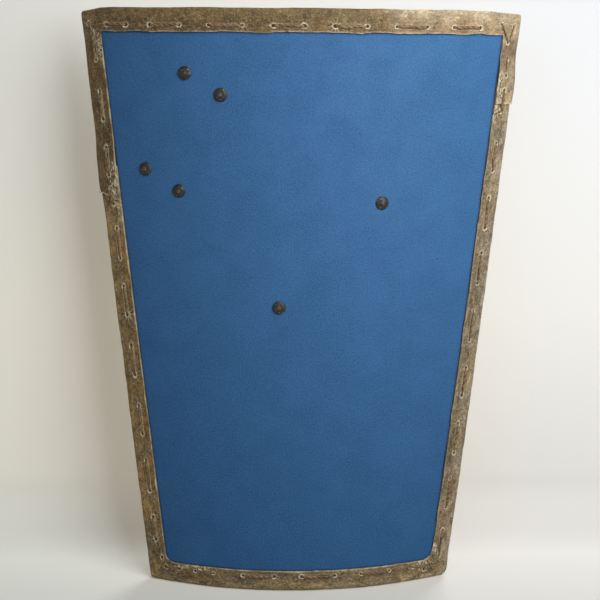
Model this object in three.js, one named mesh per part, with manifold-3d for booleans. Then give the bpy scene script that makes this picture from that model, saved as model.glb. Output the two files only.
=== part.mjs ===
// A hand-held curved shield: a bent plywood board faced with painted canvas, edged with rawhide strips
// laced on with leather thong, and carried by three leather arm straps riveted behind it.
// Millimetres, +Z up, the painted front faces -Y, and the origin lies under the middle of its box.
import * as THREE from "three";
import { mergeVertices } from "three/addons/utils/BufferGeometryUtils.js";
import Module from "manifold-3d";

const wasm = await Module();
wasm.setup();

// Outline, measured over the rim; widths run round the bend.
const shieldHeight = 850;
const topWidth = 665;
const bottomWidth = 471;
const bendRadius = 560;
const bendFacets = 16;

// Layers and fits.
const canvasThickness = 1;
const boardThickness = 8;
const rawhideThickness = 2;
const leatherThickness = 3;
const layerGap = 0.3;
const weldDistance = 0.0002;
const foldSnap = 0.01;
const cutOverrun = 5;

// Rawhide rim: the top strip has a leg down each side that laps over the side strip.
const rimWidth = 32.5;
const rimBackWidth = 30;
const rimRounding = 4;
const rimRoundingSteps = 2;
const leftLegLength = 266;
const rightLegLength = 132;
const leftLapLength = 42;
const rightLapLength = 30;
const joggleLength = 6;

// Lacing: each pair is a stitch on the front, as shares of its edge's length, corner to corner.
const topLaceInset = 24;
const sideLaceInset = 19.5;
const thongWidth = 4.4;
const thongThickness = 2.2;
const thongTail = 12;
const laceHoleSlack = 1.4;
const laceHoleSideSlack = 0.6;
const leftStitchShares = [
  [0.043, 0.088],
  [0.138, 0.184],
  [0.232, 0.276],
  [0.299, 0.324],
  [0.367, 0.418],
  [0.466, 0.515],
  [0.57, 0.621],
  [0.677, 0.729],
  [0.776, 0.832],
  [0.883, 0.923],
];
const bottomStitchShares = [
  [0.06, 0.105],
  [0.161, 0.221],
  [0.317, 0.415],
  [0.504, 0.607],
  [0.694, 0.788],
  [0.872, 0.934],
];
const rightStitchShares = [
  [0.04, 0.087],
  [0.131, 0.185],
  [0.233, 0.286],
  [0.339, 0.388],
  [0.438, 0.49],
  [0.539, 0.591],
  [0.636, 0.686],
  [0.733, 0.779],
  [0.833, 0.867],
  [0.892, 0.919],
];
const topStitchShares = [
  [0.119, 0.183],
  [0.246, 0.313],
  [0.376, 0.441],
  [0.504, 0.566],
  [0.629, 0.698],
  [0.761, 0.825],
  [0.882, 0.929],
];

// Rivets: a domed rose on the face, a shank peened over it, and a washer on the strap behind.
const roseRadius = 9.6;
const roseHeight = 3.4;
const roseThickness = 1.4;
const roseSteps = 3;
const roseHollowSteps = 2;
const shankRadius = 2;
const shankSlack = 0.3;
const peenRadius = 3.3;
const peenHeight = 1.3;
const washerRadius = 9;
const washerThickness = 1.2;
const backHeadRadius = 5.5;
const backHeadHeight = 2.2;
const rivetSides = 12;
const shankSides = 8;

// Arm straps. Centres are shares of the half width at the top and of the height; angles are in degrees
// up from level, seen from the front.
const handStrapCentreShares = [-0.595, 0.818];
const handStrapSpan = 147;
const handStrapAngle = 65.2;
const handStrapWidth = 28;
const handStrapClear = 48;
const wristStrapCentreShares = [-0.442, 0.7845];
const wristStrapSpan = 147;
const wristStrapAngle = 65.3;
const wristStrapWidth = 25;
const wristStrapClear = 62;
const forearmStrapCentreShares = [0.114, 0.6023];
const forearmStrapSpan = 207;
const forearmStrapAngle = 225.8;
const forearmStrapWidth = 28;
const forearmStrapClear = 84;
const footReach = 13;
const handLegRun = 12;
const forearmLegRun = 26;
const footBendRadius = 10;
const shoulderBendRadius = 24;
const bendSteps = 4;
const strapEndShare = 0.35;
const strapEndSteps = 3;
const blendHeight = 24;

// Buckle on the forearm strap, turning on its heel bar.
const barRadius = 2;
const barSlack = 0.3;
const barSides = 8;
const buckleLength = 32;
const buckleSideSlack = 1;
const buckleHeelRounding = 3;
const buckleFrontRounding = 5;
const buckleCornerSteps = 3;
const buckleTilt = 12;
const barOffset = 8;
const chapeLength = 27;
const chapePinch = 10;
const tongueWidth = 3.2;
const tongueThickness = 2.4;
const tongueEyeWall = 1.6;
const tongueOverhang = 3;
const tongueSlotSlack = 0.5;
const tongueSlotLength = 15;
const chapeSlotReach = 8;
const tongueEyeSides = 12;
const billetTailLength = 78;
const billetHoleRadius = 2.4;
const billetHolePitch = 24;
const spareBilletHoles = 2;
const billetHoleSides = 8;
const keeperLength = 12;
const keeperThickness = 2.2;
const keeperSideSlack = 0.5;
const keeperPlace = 38;
const keeperRounding = 1.5;
const keeperRoundingSteps = 2;

// Depths behind the painted face.
const boardDepth = canvasThickness + layerGap;
const backDepth = boardDepth + boardThickness;
const rimFrontDepth = -layerGap - rawhideThickness;
const rimBackDepth = backDepth + layerGap + rawhideThickness;
const lapLift = rawhideThickness + layerGap;
const boardInset = rawhideThickness + layerGap;
const footHeight = layerGap + leatherThickness / 2;
const footRun = washerRadius + footBendRadius;
const foldStep = topWidth / bendFacets;

const painted = { color: 0x2f5f98, roughness: 0.8, metalness: 0 };
const rawhide = { color: 0x9a8566, roughness: 0.75, metalness: 0 };
const thong = { color: 0x6b4a2f, roughness: 0.8, metalness: 0 };
const birch = { color: 0xc9a878, roughness: 0.65, metalness: 0 };
const harness = { color: 0x5a3a22, roughness: 0.6, metalness: 0 };
const iron = { color: 0x3b3733, roughness: 0.5, metalness: 0.8 };

const radians = THREE.MathUtils.degToRad;
const upright = new THREE.Vector2(0, 1);

// Solids

// Makes a closed geometry a solid for joining and cutting, with its faces outwards.
function solidFrom(geometry) {
  const bare = new THREE.BufferGeometry();
  bare.setAttribute("position", geometry.getAttribute("position").clone());
  if (geometry.index) bare.setIndex(geometry.index.clone());
  const welded = mergeVertices(bare, weldDistance);
  const positions = welded.getAttribute("position").array;
  const corners = withoutCollapsed(welded.index.array);
  if (signedVolume(positions, corners) < 0) corners.reverse();
  const mesh = new wasm.Mesh({
    numProp: 3,
    vertProperties: positions,
    triVerts: new Uint32Array(corners),
  });
  return new wasm.Manifold(mesh);
}

// Leaves out triangles that the weld has closed up, such as those at a lathe's axis.
function withoutCollapsed(index) {
  const kept = [];
  for (let i = 0; i < index.length; i += 3) {
    const [a, b, c] = [index[i], index[i + 1], index[i + 2]];
    if (a !== b && b !== c && c !== a) kept.push(a, b, c);
  }
  return kept;
}

function signedVolume(positions, corners) {
  const [a, b, c] = [new THREE.Vector3(), new THREE.Vector3(), new THREE.Vector3()];
  let sum = 0;
  for (let i = 0; i < corners.length; i += 3) {
    a.fromArray(positions, 3 * corners[i]);
    b.fromArray(positions, 3 * corners[i + 1]);
    c.fromArray(positions, 3 * corners[i + 2]);
    sum += a.dot(b.cross(c));
  }
  return sum;
}

// A solid's triangles as lists of three points.
function trianglesOf(solid) {
  const { numProp, vertProperties, triVerts } = solid.getMesh();
  const points = [];
  for (let i = 0; i < vertProperties.length; i += numProp) {
    points.push(new THREE.Vector3().fromArray(vertProperties, i));
  }
  const triangles = [];
  for (let i = 0; i < triVerts.length; i += 3) {
    triangles.push([points[triVerts[i]], points[triVerts[i + 1]], points[triVerts[i + 2]]]);
  }
  return triangles;
}

// Skins a row of equal rings; the first and last are closed by the flat outline that they share.
function loft(rings, outline, closed = false) {
  const count = rings[0].length;
  const index = [];
  const spans = closed ? rings.length : rings.length - 1;
  for (let r = 0; r < spans; r++) {
    const here = r * count;
    const next = ((r + 1) % rings.length) * count;
    for (let k = 0; k < count; k++) {
      const after = (k + 1) % count;
      index.push(here + k, next + k, next + after);
      index.push(here + k, next + after, here + after);
    }
  }
  if (!closed) {
    const last = (rings.length - 1) * count;
    for (const [a, b, c] of capOf(outline)) {
      index.push(a, b, c);
      index.push(last + c, last + b, last + a);
    }
  }
  const geometry = new THREE.BufferGeometry().setFromPoints(rings.flat());
  geometry.setIndex(index);
  return solidFrom(geometry);
}

// Triangles that fill an outline, each turned the way that the outline runs.
function capOf(outline) {
  const way = Math.sign(THREE.ShapeUtils.area(outline));
  return THREE.ShapeUtils.triangulateShape(outline, []).map(([a, b, c]) => {
    const area = THREE.ShapeUtils.area([outline[a], outline[b], outline[c]]);
    return area * way > 0 ? [a, b, c] : [c, b, a];
  });
}

// A flat shape drawn in x and y, thickened along +z.
function slab(shape, thickness, curveSegments = 1) {
  const settings = { depth: thickness, bevelEnabled: false, curveSegments };
  return new THREE.ExtrudeGeometry(shape, settings);
}

// A regular prism along y, its flats at the radius.
function prism(radius, length, sides) {
  const reach = radius / Math.cos(Math.PI / sides);
  return new THREE.CylinderGeometry(reach, reach, length, sides);
}

// Flat pattern: x runs round the bend, y is depth behind the face, z is height.

// Where a point of the flat pattern lands on one of the upright fold lines.
function onFold(fold, point) {
  const angle = (fold * foldStep) / bendRadius;
  const radius = bendRadius - point.y;
  return new THREE.Vector3(radius * Math.sin(angle), bendRadius - radius * Math.cos(angle), point.z);
}

// Bends the flat pattern into the shield's curve, flat between neighbouring folds.
function bend(point) {
  const fold = Math.floor(point.x / foldStep);
  const share = point.x / foldStep - fold;
  return onFold(fold, point).lerp(onFold(fold + 1, point), share);
}

// Which side of a fold a point lies on; a point very near it counts as on it.
function sideOf(point, foldX) {
  const distance = point.x - foldX;
  return Math.abs(distance) < foldSnap ? 0 : Math.sign(distance);
}

// Cuts a convex polygon at a fold into what lies left and right of it.
function cutAtFold(polygon, foldX) {
  const left = [];
  const right = [];
  polygon.forEach((point, i) => {
    const next = polygon[(i + 1) % polygon.length];
    const side = sideOf(point, foldX);
    if (side <= 0) left.push(point);
    if (side >= 0) right.push(point);
    if (side * sideOf(next, foldX) < 0) {
      const [low, high] = point.x < next.x ? [point, next] : [next, point];
      const crossing = low.clone().lerp(high, (foldX - low.x) / (high.x - low.x));
      left.push(crossing);
      right.push(crossing);
    }
  });
  return [left, right];
}

// Splits a triangle at every fold that crosses it.
function splitAtFolds(triangle) {
  const xs = triangle.map((point) => point.x);
  const pieces = [];
  let rest = triangle;
  const firstFold = Math.floor(Math.min(...xs) / foldStep);
  const lastFold = Math.ceil(Math.max(...xs) / foldStep);
  for (let fold = firstFold; fold <= lastFold; fold++) {
    const [left, right] = cutAtFold(rest, fold * foldStep);
    if (left.length > 2 && right.length > 2) {
      pieces.push(left);
      rest = right;
    }
  }
  pieces.push(rest);
  return pieces;
}

// Bends a flat-pattern solid, or puts it elsewhere point by point.
function bent(solid, place = bend) {
  const points = [];
  for (const triangle of trianglesOf(solid)) {
    for (const polygon of splitAtFolds(triangle)) {
      for (let i = 2; i < polygon.length; i++) points.push(polygon[0], polygon[i - 1], polygon[i]);
    }
  }
  return solidFrom(new THREE.BufferGeometry().setFromPoints(points.map(place)));
}

// A solid as a named mesh with a finish of its own.
function namedMesh(name, solid, finish) {
  const geometry = new THREE.BufferGeometry().setFromPoints(trianglesOf(solid).flat());
  geometry.computeVertexNormals();
  const mesh = new THREE.Mesh(geometry, new THREE.MeshStandardMaterial(finish));
  mesh.name = name;
  return mesh;
}

// Outline of the board and rim

const corners = {
  topLeft: new THREE.Vector2(-topWidth / 2, shieldHeight),
  bottomLeft: new THREE.Vector2(-bottomWidth / 2, 0),
  bottomRight: new THREE.Vector2(bottomWidth / 2, 0),
  topRight: new THREE.Vector2(topWidth / 2, shieldHeight),
};

// The direction into the shield, square to an edge walked with the shield on its left.
function inwardFrom(from, to) {
  const along = to.clone().sub(from).normalize();
  return new THREE.Vector2(-along.y, along.x);
}

const inward = {
  left: inwardFrom(corners.topLeft, corners.bottomLeft),
  bottom: inwardFrom(corners.bottomLeft, corners.bottomRight),
  right: inwardFrom(corners.bottomRight, corners.topRight),
  top: inwardFrom(corners.topRight, corners.topLeft),
};

// How a corner moves for each unit that both its edges move inwards.
function mitre(first, second) {
  return first.clone().add(second).divideScalar(1 + first.dot(second));
}

const mitres = {
  topLeft: mitre(inward.top, inward.left),
  bottomLeft: mitre(inward.left, inward.bottom),
  bottomRight: mitre(inward.bottom, inward.right),
  topRight: mitre(inward.right, inward.top),
};

// A sheet that follows the outline, a set distance inside it.
function sheet(inset, frontDepth, thickness) {
  const outline = Object.keys(corners).map((name) =>
    corners[name].clone().addScaledVector(mitres[name], inset),
  );
  const geometry = slab(new THREE.Shape(outline), thickness);
  geometry.rotateX(Math.PI / 2);
  geometry.translate(0, frontDepth + thickness, 0);
  return bent(solidFrom(geometry));
}

// Lacing

// The line of holes beside one edge, and the places of its holes in walking order.
function laceLine(from, to, into, inset, stitchShares) {
  const start = from.clone().addScaledVector(into, inset);
  const length = to.distanceTo(from);
  const along = to.clone().sub(from).normalize();
  const places = stitchShares.flat().map((share) => share * length);
  return { start, along, length, places };
}

const laceLines = {
  left: laceLine(corners.topLeft, corners.bottomLeft, inward.left, sideLaceInset, leftStitchShares),
  bottom: laceLine(
    corners.bottomLeft,
    corners.bottomRight,
    inward.bottom,
    topLaceInset,
    bottomStitchShares,
  ),
  right: laceLine(
    corners.bottomRight,
    corners.topRight,
    inward.right,
    sideLaceInset,
    rightStitchShares,
  ),
  top: laceLine(corners.topRight, corners.topLeft, inward.top, topLaceInset, topStitchShares),
};

// A frame in the flat pattern: x along a direction, y into depth, z to its left.
function flatFrame(origin, along, depth = 0) {
  const x = new THREE.Vector3(along.x, 0, along.y);
  const y = new THREE.Vector3(0, 1, 0);
  const frame = new THREE.Matrix4().makeBasis(x, y, x.clone().cross(y));
  return frame.setPosition(origin.x, depth, origin.y);
}

// The same frame standing straight on the bent shield.
function standingFrame(origin, along, depth = 0) {
  const foot = bend(new THREE.Vector3(origin.x, depth, origin.y));
  const behind = bend(new THREE.Vector3(origin.x, depth + cutOverrun, origin.y)).sub(foot).normalize();
  const up = new THREE.Vector3(0, 0, 1);
  const round = behind.clone().cross(up);
  const x = round.multiplyScalar(along.x).addScaledVector(up, along.y);
  return new THREE.Matrix4().makeBasis(x, behind, x.clone().cross(behind)).setPosition(foot);
}

// Cuts the four-sided holes of a lace line through a bent solid.
function laceHoled(solid, line) {
  const length = rimBackDepth - rimFrontDepth + 2 * lapLift + 2 * cutOverrun;
  const holeAlong = thongThickness + 2 * laceHoleSlack;
  const holeAcross = thongWidth + 2 * laceHoleSideSlack;
  return line.places.reduce((made, place) => {
    const centre = line.start.clone().addScaledVector(line.along, place);
    const cutter = new THREE.BoxGeometry(holeAlong, length, holeAcross);
    cutter.applyMatrix4(standingFrame(centre, line.along, backDepth / 2));
    return made.subtract(solidFrom(cutter));
  }, solid);
}

// The height that the lapped strips add under a stretch of lacing.
function liftOver(from, to, lapped) {
  const clear = thongThickness;
  return lapped.some(([start, end]) => to > start - clear && from < end + clear) ? lapLift : 0;
}

// Points of a thong's middle line, in distance along the edge and depth.
function laceRoute(places, lapped) {
  const front = (from, to) => rimFrontDepth - layerGap - thongThickness / 2 - liftOver(from, to, lapped);
  const back = (from, to) => rimBackDepth + layerGap + thongThickness / 2 + liftOver(from, to, lapped);
  const first = places[0] - thongTail;
  const last = places.at(-1) + thongTail;
  const stops = [first, ...places, last];
  const levels = stops.slice(1).map((to, i) => (i % 2 ? front : back)(stops[i], to));
  const route = [new THREE.Vector2(first, levels[0])];
  places.forEach((place, i) => {
    route.push(new THREE.Vector2(place, levels[i]));
    route.push(new THREE.Vector2(place, levels[i + 1]));
  });
  route.push(new THREE.Vector2(last, levels.at(-1)));
  return route;
}

// A flat strip carried along a route in the x, y plane; half widths run along z.
function ribbon(route, halfWidths, thickness) {
  const rings = route.map((point, i) => {
    const before = route[Math.max(i - 1, 0)];
    const after = route[Math.min(i + 1, route.length - 1)];
    const into = i ? inwardFrom(before, point) : inwardFrom(point, after);
    const onward = i < route.length - 1 ? inwardFrom(point, after) : into;
    const across = mitre(into, onward).multiplyScalar(thickness / 2);
    const wide = halfWidths[i];
    return [
      new THREE.Vector3(point.x + across.x, point.y + across.y, wide),
      new THREE.Vector3(point.x - across.x, point.y - across.y, wide),
      new THREE.Vector3(point.x - across.x, point.y - across.y, -wide),
      new THREE.Vector3(point.x + across.x, point.y + across.y, -wide),
    ];
  });
  const square = [
    new THREE.Vector2(1, 1),
    new THREE.Vector2(-1, 1),
    new THREE.Vector2(-1, -1),
    new THREE.Vector2(1, -1),
  ];
  return loft(rings, square);
}

// One thong, in and out of a line of holes.
function lace(line, lapped = []) {
  const route = laceRoute(line.places, lapped);
  const halfWidths = route.map(() => thongWidth / 2);
  const strip = ribbon(route, halfWidths, thongThickness);
  return bent(strip.transform(flatFrame(line.start, line.along).toArray()));
}

// Rim

// Section of a rawhide strip folded over the edge: distance in from the edge, and depth.
function rimSection(lift) {
  const front = rimFrontDepth - lift;
  const back = rimBackDepth + lift;
  const middle = rimRounding - lift;
  const section = [[rimWidth, front]];
  for (let step = 0; step <= rimRoundingSteps; step++) {
    const angle = (Math.PI / 2) * (step / rimRoundingSteps);
    const reach = rimRounding * Math.sin(angle);
    section.push([middle - reach, front + rimRounding - rimRounding * Math.cos(angle)]);
  }
  for (let step = 0; step <= rimRoundingSteps; step++) {
    const angle = (Math.PI / 2) * (step / rimRoundingSteps);
    const reach = rimRounding * Math.cos(angle);
    section.push([middle - reach, back - rimRounding + rimRounding * Math.sin(angle)]);
  }
  section.push([rimBackWidth, back]);
  section.push([rimBackWidth, back - rawhideThickness]);
  section.push([rawhideThickness - lift, back - rawhideThickness]);
  section.push([rawhideThickness - lift, front + rawhideThickness]);
  section.push([rimWidth, front + rawhideThickness]);
  return section;
}

// A rim strip through stations, each a point on the outline, a way inwards and a lift.
function rimStrip(stations) {
  const rings = stations.map(({ point, into, lift }) =>
    rimSection(lift).map(
      ([inset, depth]) =>
        new THREE.Vector3(point.x + into.x * inset, depth, point.y + into.y * inset),
    ),
  );
  const outline = rimSection(0).map(([inset, depth]) => new THREE.Vector2(inset, depth));
  return bent(loft(rings, outline));
}

// A station on a straight edge, a set distance from the corner that the edge leaves.
function edgeStation(corner, away, into, distance, lift = 0) {
  const point = corner.clone().addScaledVector(away, distance);
  return { point, into, lift };
}

// The top strip: across the top and down both sides, stepping up over the side strips' ends.
function topStrip() {
  const downLeft = laceLines.left.along;
  const downRight = laceLines.right.along.clone().negate();
  const leg = (corner, away, into, length, lap) => [
    edgeStation(corner, away, into, length, lapLift),
    edgeStation(corner, away, into, length - lap, lapLift),
    edgeStation(corner, away, into, length - lap - joggleLength),
  ];
  const left = leg(corners.topLeft, downLeft, inward.left, leftLegLength, leftLapLength);
  const right = leg(corners.topRight, downRight, inward.right, rightLegLength, rightLapLength);
  const turns = [
    { point: corners.topLeft, into: mitres.topLeft, lift: 0 },
    { point: corners.topRight, into: mitres.topRight, lift: 0 },
  ];
  return rimStrip([...left, ...turns, ...right.reverse()]);
}

// A strip down one side, from under the top strip's lap to the mitre at the bottom corner.
function sideStrip(top, bottom, into, turn, start) {
  const away = bottom.clone().sub(top).normalize();
  const end = bottom.clone().addScaledVector(away, -layerGap / 2);
  return rimStrip([edgeStation(top, away, into, start), { point: end, into: turn, lift: 0 }]);
}

function bottomStrip() {
  const along = laceLines.bottom.along;
  const start = corners.bottomLeft.clone().addScaledVector(along, layerGap / 2);
  const end = corners.bottomRight.clone().addScaledVector(along, -layerGap / 2);
  return rimStrip([
    { point: start, into: mitres.bottomLeft, lift: 0 },
    { point: end, into: mitres.bottomRight, lift: 0 },
  ]);
}

// Stretches of the side lace lines that run over lapped rawhide.
const leftLapStart = leftLegLength - leftLapLength - joggleLength;
const leftLapped = [[leftLapStart, leftLegLength]];
const rightEdge = laceLines.right.length;
const rightLapEnd = rightEdge - rightLegLength + rightLapLength + joggleLength;
const rightLapped = [[rightEdge - rightLegLength, rightLapEnd]];

// Straps: local x runs along the strap, y is height behind the board, z is across the strap.

// One strap's place: its centre in the flat pattern, its span between rivets and its direction.
function strapPlace([across, up], span, angle) {
  const centre = new THREE.Vector2((across * topWidth) / 2, up * shieldHeight);
  const along = new THREE.Vector2(Math.cos(radians(angle)), Math.sin(radians(angle)));
  const flat = flatFrame(centre, along, backDepth);
  return { centre, along, span, flat, standing: standingFrame(centre, along, backDepth) };
}

// Bends a strap's feet with the board and keeps its loop straight and true above them.
function strapBend(strap) {
  const standing = strap.standing.clone().multiply(strap.flat.clone().invert());
  const footTop = layerGap + leatherThickness;
  return (point) => {
    const height = point.y - backDepth;
    const share = THREE.MathUtils.smoothstep(height, footTop, footTop + blendHeight);
    return bend(point).lerp(point.clone().applyMatrix4(standing), share);
  };
}

// Replaces the corners of a route with arcs, given one radius for each inner point.
function roundedRoute(points, radii) {
  const route = [points[0]];
  for (let i = 1; i < points.length - 1; i++) {
    const back = points[i - 1].clone().sub(points[i]).normalize();
    const on = points[i + 1].clone().sub(points[i]).normalize();
    const half = Math.acos(THREE.MathUtils.clamp(back.dot(on), -1, 1)) / 2;
    const setback = radii[i - 1] / Math.tan(half);
    const middle = back.clone().add(on).normalize();
    const centre = points[i].clone().addScaledVector(middle, radii[i - 1] / Math.sin(half));
    const start = points[i].clone().addScaledVector(back, setback).sub(centre);
    const turn = Math.sign(start.cross(middle.clone().negate())) * (Math.PI - 2 * half);
    for (let step = 0; step <= bendSteps; step++) {
      const spoke = start.clone().rotateAround(new THREE.Vector2(), (turn * step) / bendSteps);
      route.push(centre.clone().add(spoke));
    }
  }
  route.push(points.at(-1));
  return route;
}

// Adds points near a route's start for a rounded strap end, and their half widths.
function roundEnd(route, halfWidth) {
  const on = route[1].clone().sub(route[0]).normalize();
  const points = [];
  const widths = [];
  for (let step = 0; step < strapEndSteps; step++) {
    const angle = (Math.PI / 2) * (step / strapEndSteps);
    const reach = halfWidth * (1 - Math.sin(angle) * (1 - strapEndShare) - strapEndShare);
    points.push(route[0].clone().addScaledVector(on, halfWidth * (1 - strapEndShare) - reach));
    widths.push(halfWidth * (strapEndShare + (1 - strapEndShare) * Math.sin(angle)));
  }
  return { points, widths };
}

// A strap's strip in its local frame, its ends rounded where asked.
function strapStrip(route, width, { startRound = true, endRound = true } = {}) {
  const half = width / 2;
  const start = startRound ? roundEnd(route, half) : { points: [], widths: [] };
  const end = endRound ? roundEnd([...route].reverse(), half) : { points: [], widths: [] };
  const inner = route.slice(startRound ? 1 : 0, endRound ? -1 : undefined);
  const points = [...start.points, ...inner, ...end.points.reverse()];
  const widths = [...start.widths, ...inner.map(() => half), ...end.widths.reverse()];
  return ribbon(points, widths, leatherThickness);
}

// The route of a plain loop: a foot, a leg up, the loop's top and down again.
function loopPoints(span, clear, legRun) {
  const top = clear + leatherThickness / 2;
  const near = -span / 2;
  return [
    new THREE.Vector2(near - footReach, footHeight),
    new THREE.Vector2(near + footRun, footHeight),
    new THREE.Vector2(near + footRun + legRun, top),
  ];
}

const mirrored = (points) => points.map(({ x, y }) => new THREE.Vector2(-x, y)).reverse();

// Cuts the rivet's hole through a strap's foot at one end of its span.
function footHoled(solid, end) {
  const hole = prism(shankRadius + shankSlack, 2 * cutOverrun, shankSides);
  hole.translate(end, footHeight, 0);
  return solid.subtract(solidFrom(hole));
}

function plainStrap(strap, width, clear) {
  const side = loopPoints(strap.span, clear, handLegRun);
  const radii = [footBendRadius, shoulderBendRadius, shoulderBendRadius, footBendRadius];
  const route = roundedRoute([...side, ...mirrored(side)], radii);
  const strip = strapStrip(route, width);
  const holed = footHoled(footHoled(strip, -strap.span / 2), strap.span / 2);
  return bent(holed.transform(strap.flat.toArray()), strapBend(strap));
}

const handStrap = strapPlace(handStrapCentreShares, handStrapSpan, handStrapAngle);
const wristStrap = strapPlace(wristStrapCentreShares, wristStrapSpan, wristStrapAngle);
const forearmStrap = strapPlace(forearmStrapCentreShares, forearmStrapSpan, forearmStrapAngle);

// Forearm strap: heights of its layers, from the buckle's heel bar outwards.
const chapeRadius = barRadius + barSlack + leatherThickness / 2;
const barHeight = forearmStrapClear + layerGap + chapeRadius + leatherThickness / 2;
const billetLift = chapeRadius + leatherThickness + layerGap;
const frontBarX = barOffset + buckleLength * Math.cos(radians(buckleTilt));
const frontBarHeight = barHeight + buckleLength * Math.sin(radians(buckleTilt));
const billetUnderBar = frontBarHeight - barRadius - layerGap - leatherThickness / 2;
const tongueTop = frontBarHeight + barRadius + layerGap + tongueThickness / 2;

// The half that carries the buckle: up from its rivet, round the heel bar and back under itself.
function buckleHalf() {
  const foot = loopPoints(forearmStrap.span, barHeight + chapeRadius - leatherThickness / 2, forearmLegRun);
  const top = barHeight + chapeRadius;
  const under = top - leatherThickness - layerGap;
  const rise = roundedRoute(
    [...foot, new THREE.Vector2(barOffset, top)],
    [footBendRadius, shoulderBendRadius],
  );
  const fold = [];
  for (let step = 1; step <= 2 * bendSteps; step++) {
    const angle = Math.PI / 2 - (Math.PI * step) / (2 * bendSteps);
    fold.push(
      new THREE.Vector2(
        barOffset + chapeRadius * Math.cos(angle),
        barHeight + chapeRadius * Math.sin(angle),
      ),
    );
  }
  const tail = [
    new THREE.Vector2(barOffset - chapePinch, under),
    new THREE.Vector2(barOffset - chapeLength, under),
  ];
  const strip = strapStrip([...rise, ...fold, ...tail], forearmStrapWidth, { endRound: false });
  const slot = new THREE.BoxGeometry(
    2 * chapeSlotReach,
    2 * (chapeRadius + leatherThickness),
    tongueWidth + 2 * tongueSlotSlack,
  );
  slot.translate(barOffset, barHeight, 0);
  const holed = footHoled(strip.subtract(solidFrom(slot)), -forearmStrap.span / 2);
  return bent(holed.transform(forearmStrap.flat.toArray()), strapBend(forearmStrap));
}

// The billet: up from its rivet, under the buckle's front bar, over its heel bar and along the strap.
function billetHalf() {
  const flatTop = barHeight + billetLift;
  const foot = loopPoints(forearmStrap.span, billetUnderBar - leatherThickness / 2, forearmLegRun);
  const points = [
    new THREE.Vector2(barOffset - billetTailLength, flatTop),
    new THREE.Vector2(barOffset, flatTop),
    new THREE.Vector2(frontBarX - 2 * barRadius, billetUnderBar),
    ...mirrored(foot),
  ];
  const radii = [shoulderBendRadius, shoulderBendRadius, shoulderBendRadius, footBendRadius];
  const strip = strapStrip(roundedRoute(points, radii), forearmStrapWidth);
  const slot = new THREE.BoxGeometry(tongueSlotLength, 2 * cutOverrun, tongueWidth + 2 * tongueSlotSlack);
  slot.translate(barOffset + tongueSlotLength / 2 - tongueThickness, flatTop, 0);
  let punched = strip.subtract(solidFrom(slot));
  for (let spare = 1; spare <= spareBilletHoles; spare++) {
    const hole = prism(billetHoleRadius, 2 * cutOverrun, billetHoleSides);
    hole.translate(barOffset - spare * billetHolePitch, flatTop, 0);
    punched = punched.subtract(solidFrom(hole));
  }
  const holed = footHoled(punched, forearmStrap.span / 2);
  return bent(holed.transform(forearmStrap.flat.toArray()), strapBend(forearmStrap));
}

// Rivets

// A revolved solid about the depth axis, set at a place of the flat pattern.
function turned(profile, sides, place) {
  const points = profile.map(([radius, depth]) => new THREE.Vector2(radius, depth));
  const geometry = new THREE.LatheGeometry(points, sides);
  geometry.translate(place.x, 0, place.y);
  return bent(solidFrom(geometry));
}

// Points of a shallow dome from its rim inwards to a hole or to the axis.
function domeArc(radius, height, base, innerRadius, steps) {
  const last = Math.acos(innerRadius / radius);
  return Array.from({ length: steps + 1 }, (unused, step) => {
    const angle = (last * step) / steps;
    return [radius * Math.cos(angle), base - height * Math.sin(angle)];
  });
}

function rose(place) {
  const hole = shankRadius + shankSlack;
  const hollowRadius = roseRadius - roseThickness;
  const outer = domeArc(roseRadius, roseHeight, -layerGap, hole, roseSteps);
  const inner = domeArc(hollowRadius, roseHeight - roseThickness, -layerGap, hole, roseHollowSteps);
  return turned([...outer, ...inner.reverse(), outer[0]], rivetSides, place);
}

function washer(place) {
  const front = backDepth + 2 * layerGap + leatherThickness;
  const back = front + washerThickness;
  const hole = shankRadius + shankSlack;
  const section = [
    [hole, front],
    [washerRadius, front],
    [washerRadius, back],
    [hole, back],
    [hole, front],
  ];
  return turned(section, rivetSides, place);
}

function rivet(place) {
  const crown = -layerGap - roseHeight - layerGap;
  const seat = backDepth + 3 * layerGap + leatherThickness + washerThickness;
  const profile = [
    [0, crown - peenHeight],
    [peenRadius / 2, crown - peenHeight],
    [peenRadius, crown],
    [shankRadius, crown],
    [shankRadius, seat],
    [backHeadRadius, seat],
    [backHeadRadius / 2, seat + backHeadHeight],
    [0, seat + backHeadHeight],
  ];
  return turned(profile, shankSides, place);
}

// Both rivet places of a strap.
function rivetPlaces({ centre, along, span }) {
  return [-span / 2, span / 2].map((reach) => centre.clone().addScaledVector(along, reach));
}

const places = [handStrap, wristStrap, forearmStrap].flatMap(rivetPlaces);

// Cuts every rivet's hole through a layer of the board.
function rivetHoled(solid) {
  return places.reduce((made, place) => {
    const hole = prism(shankRadius + shankSlack, backDepth + 2 * cutOverrun, shankSides);
    hole.applyMatrix4(standingFrame(place, upright, backDepth / 2));
    return made.subtract(solidFrom(hole));
  }, solid);
}

// A layer of the board with every hole through it.
function boardLayer(frontDepth, thickness) {
  const whole = sheet(boardInset, frontDepth, thickness);
  return rivetHoled(Object.values(laceLines).reduce(laceHoled, whole));
}

// Buckle, drawn about its heel bar: x towards the front bar, y outwards, z along the bar.

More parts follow.
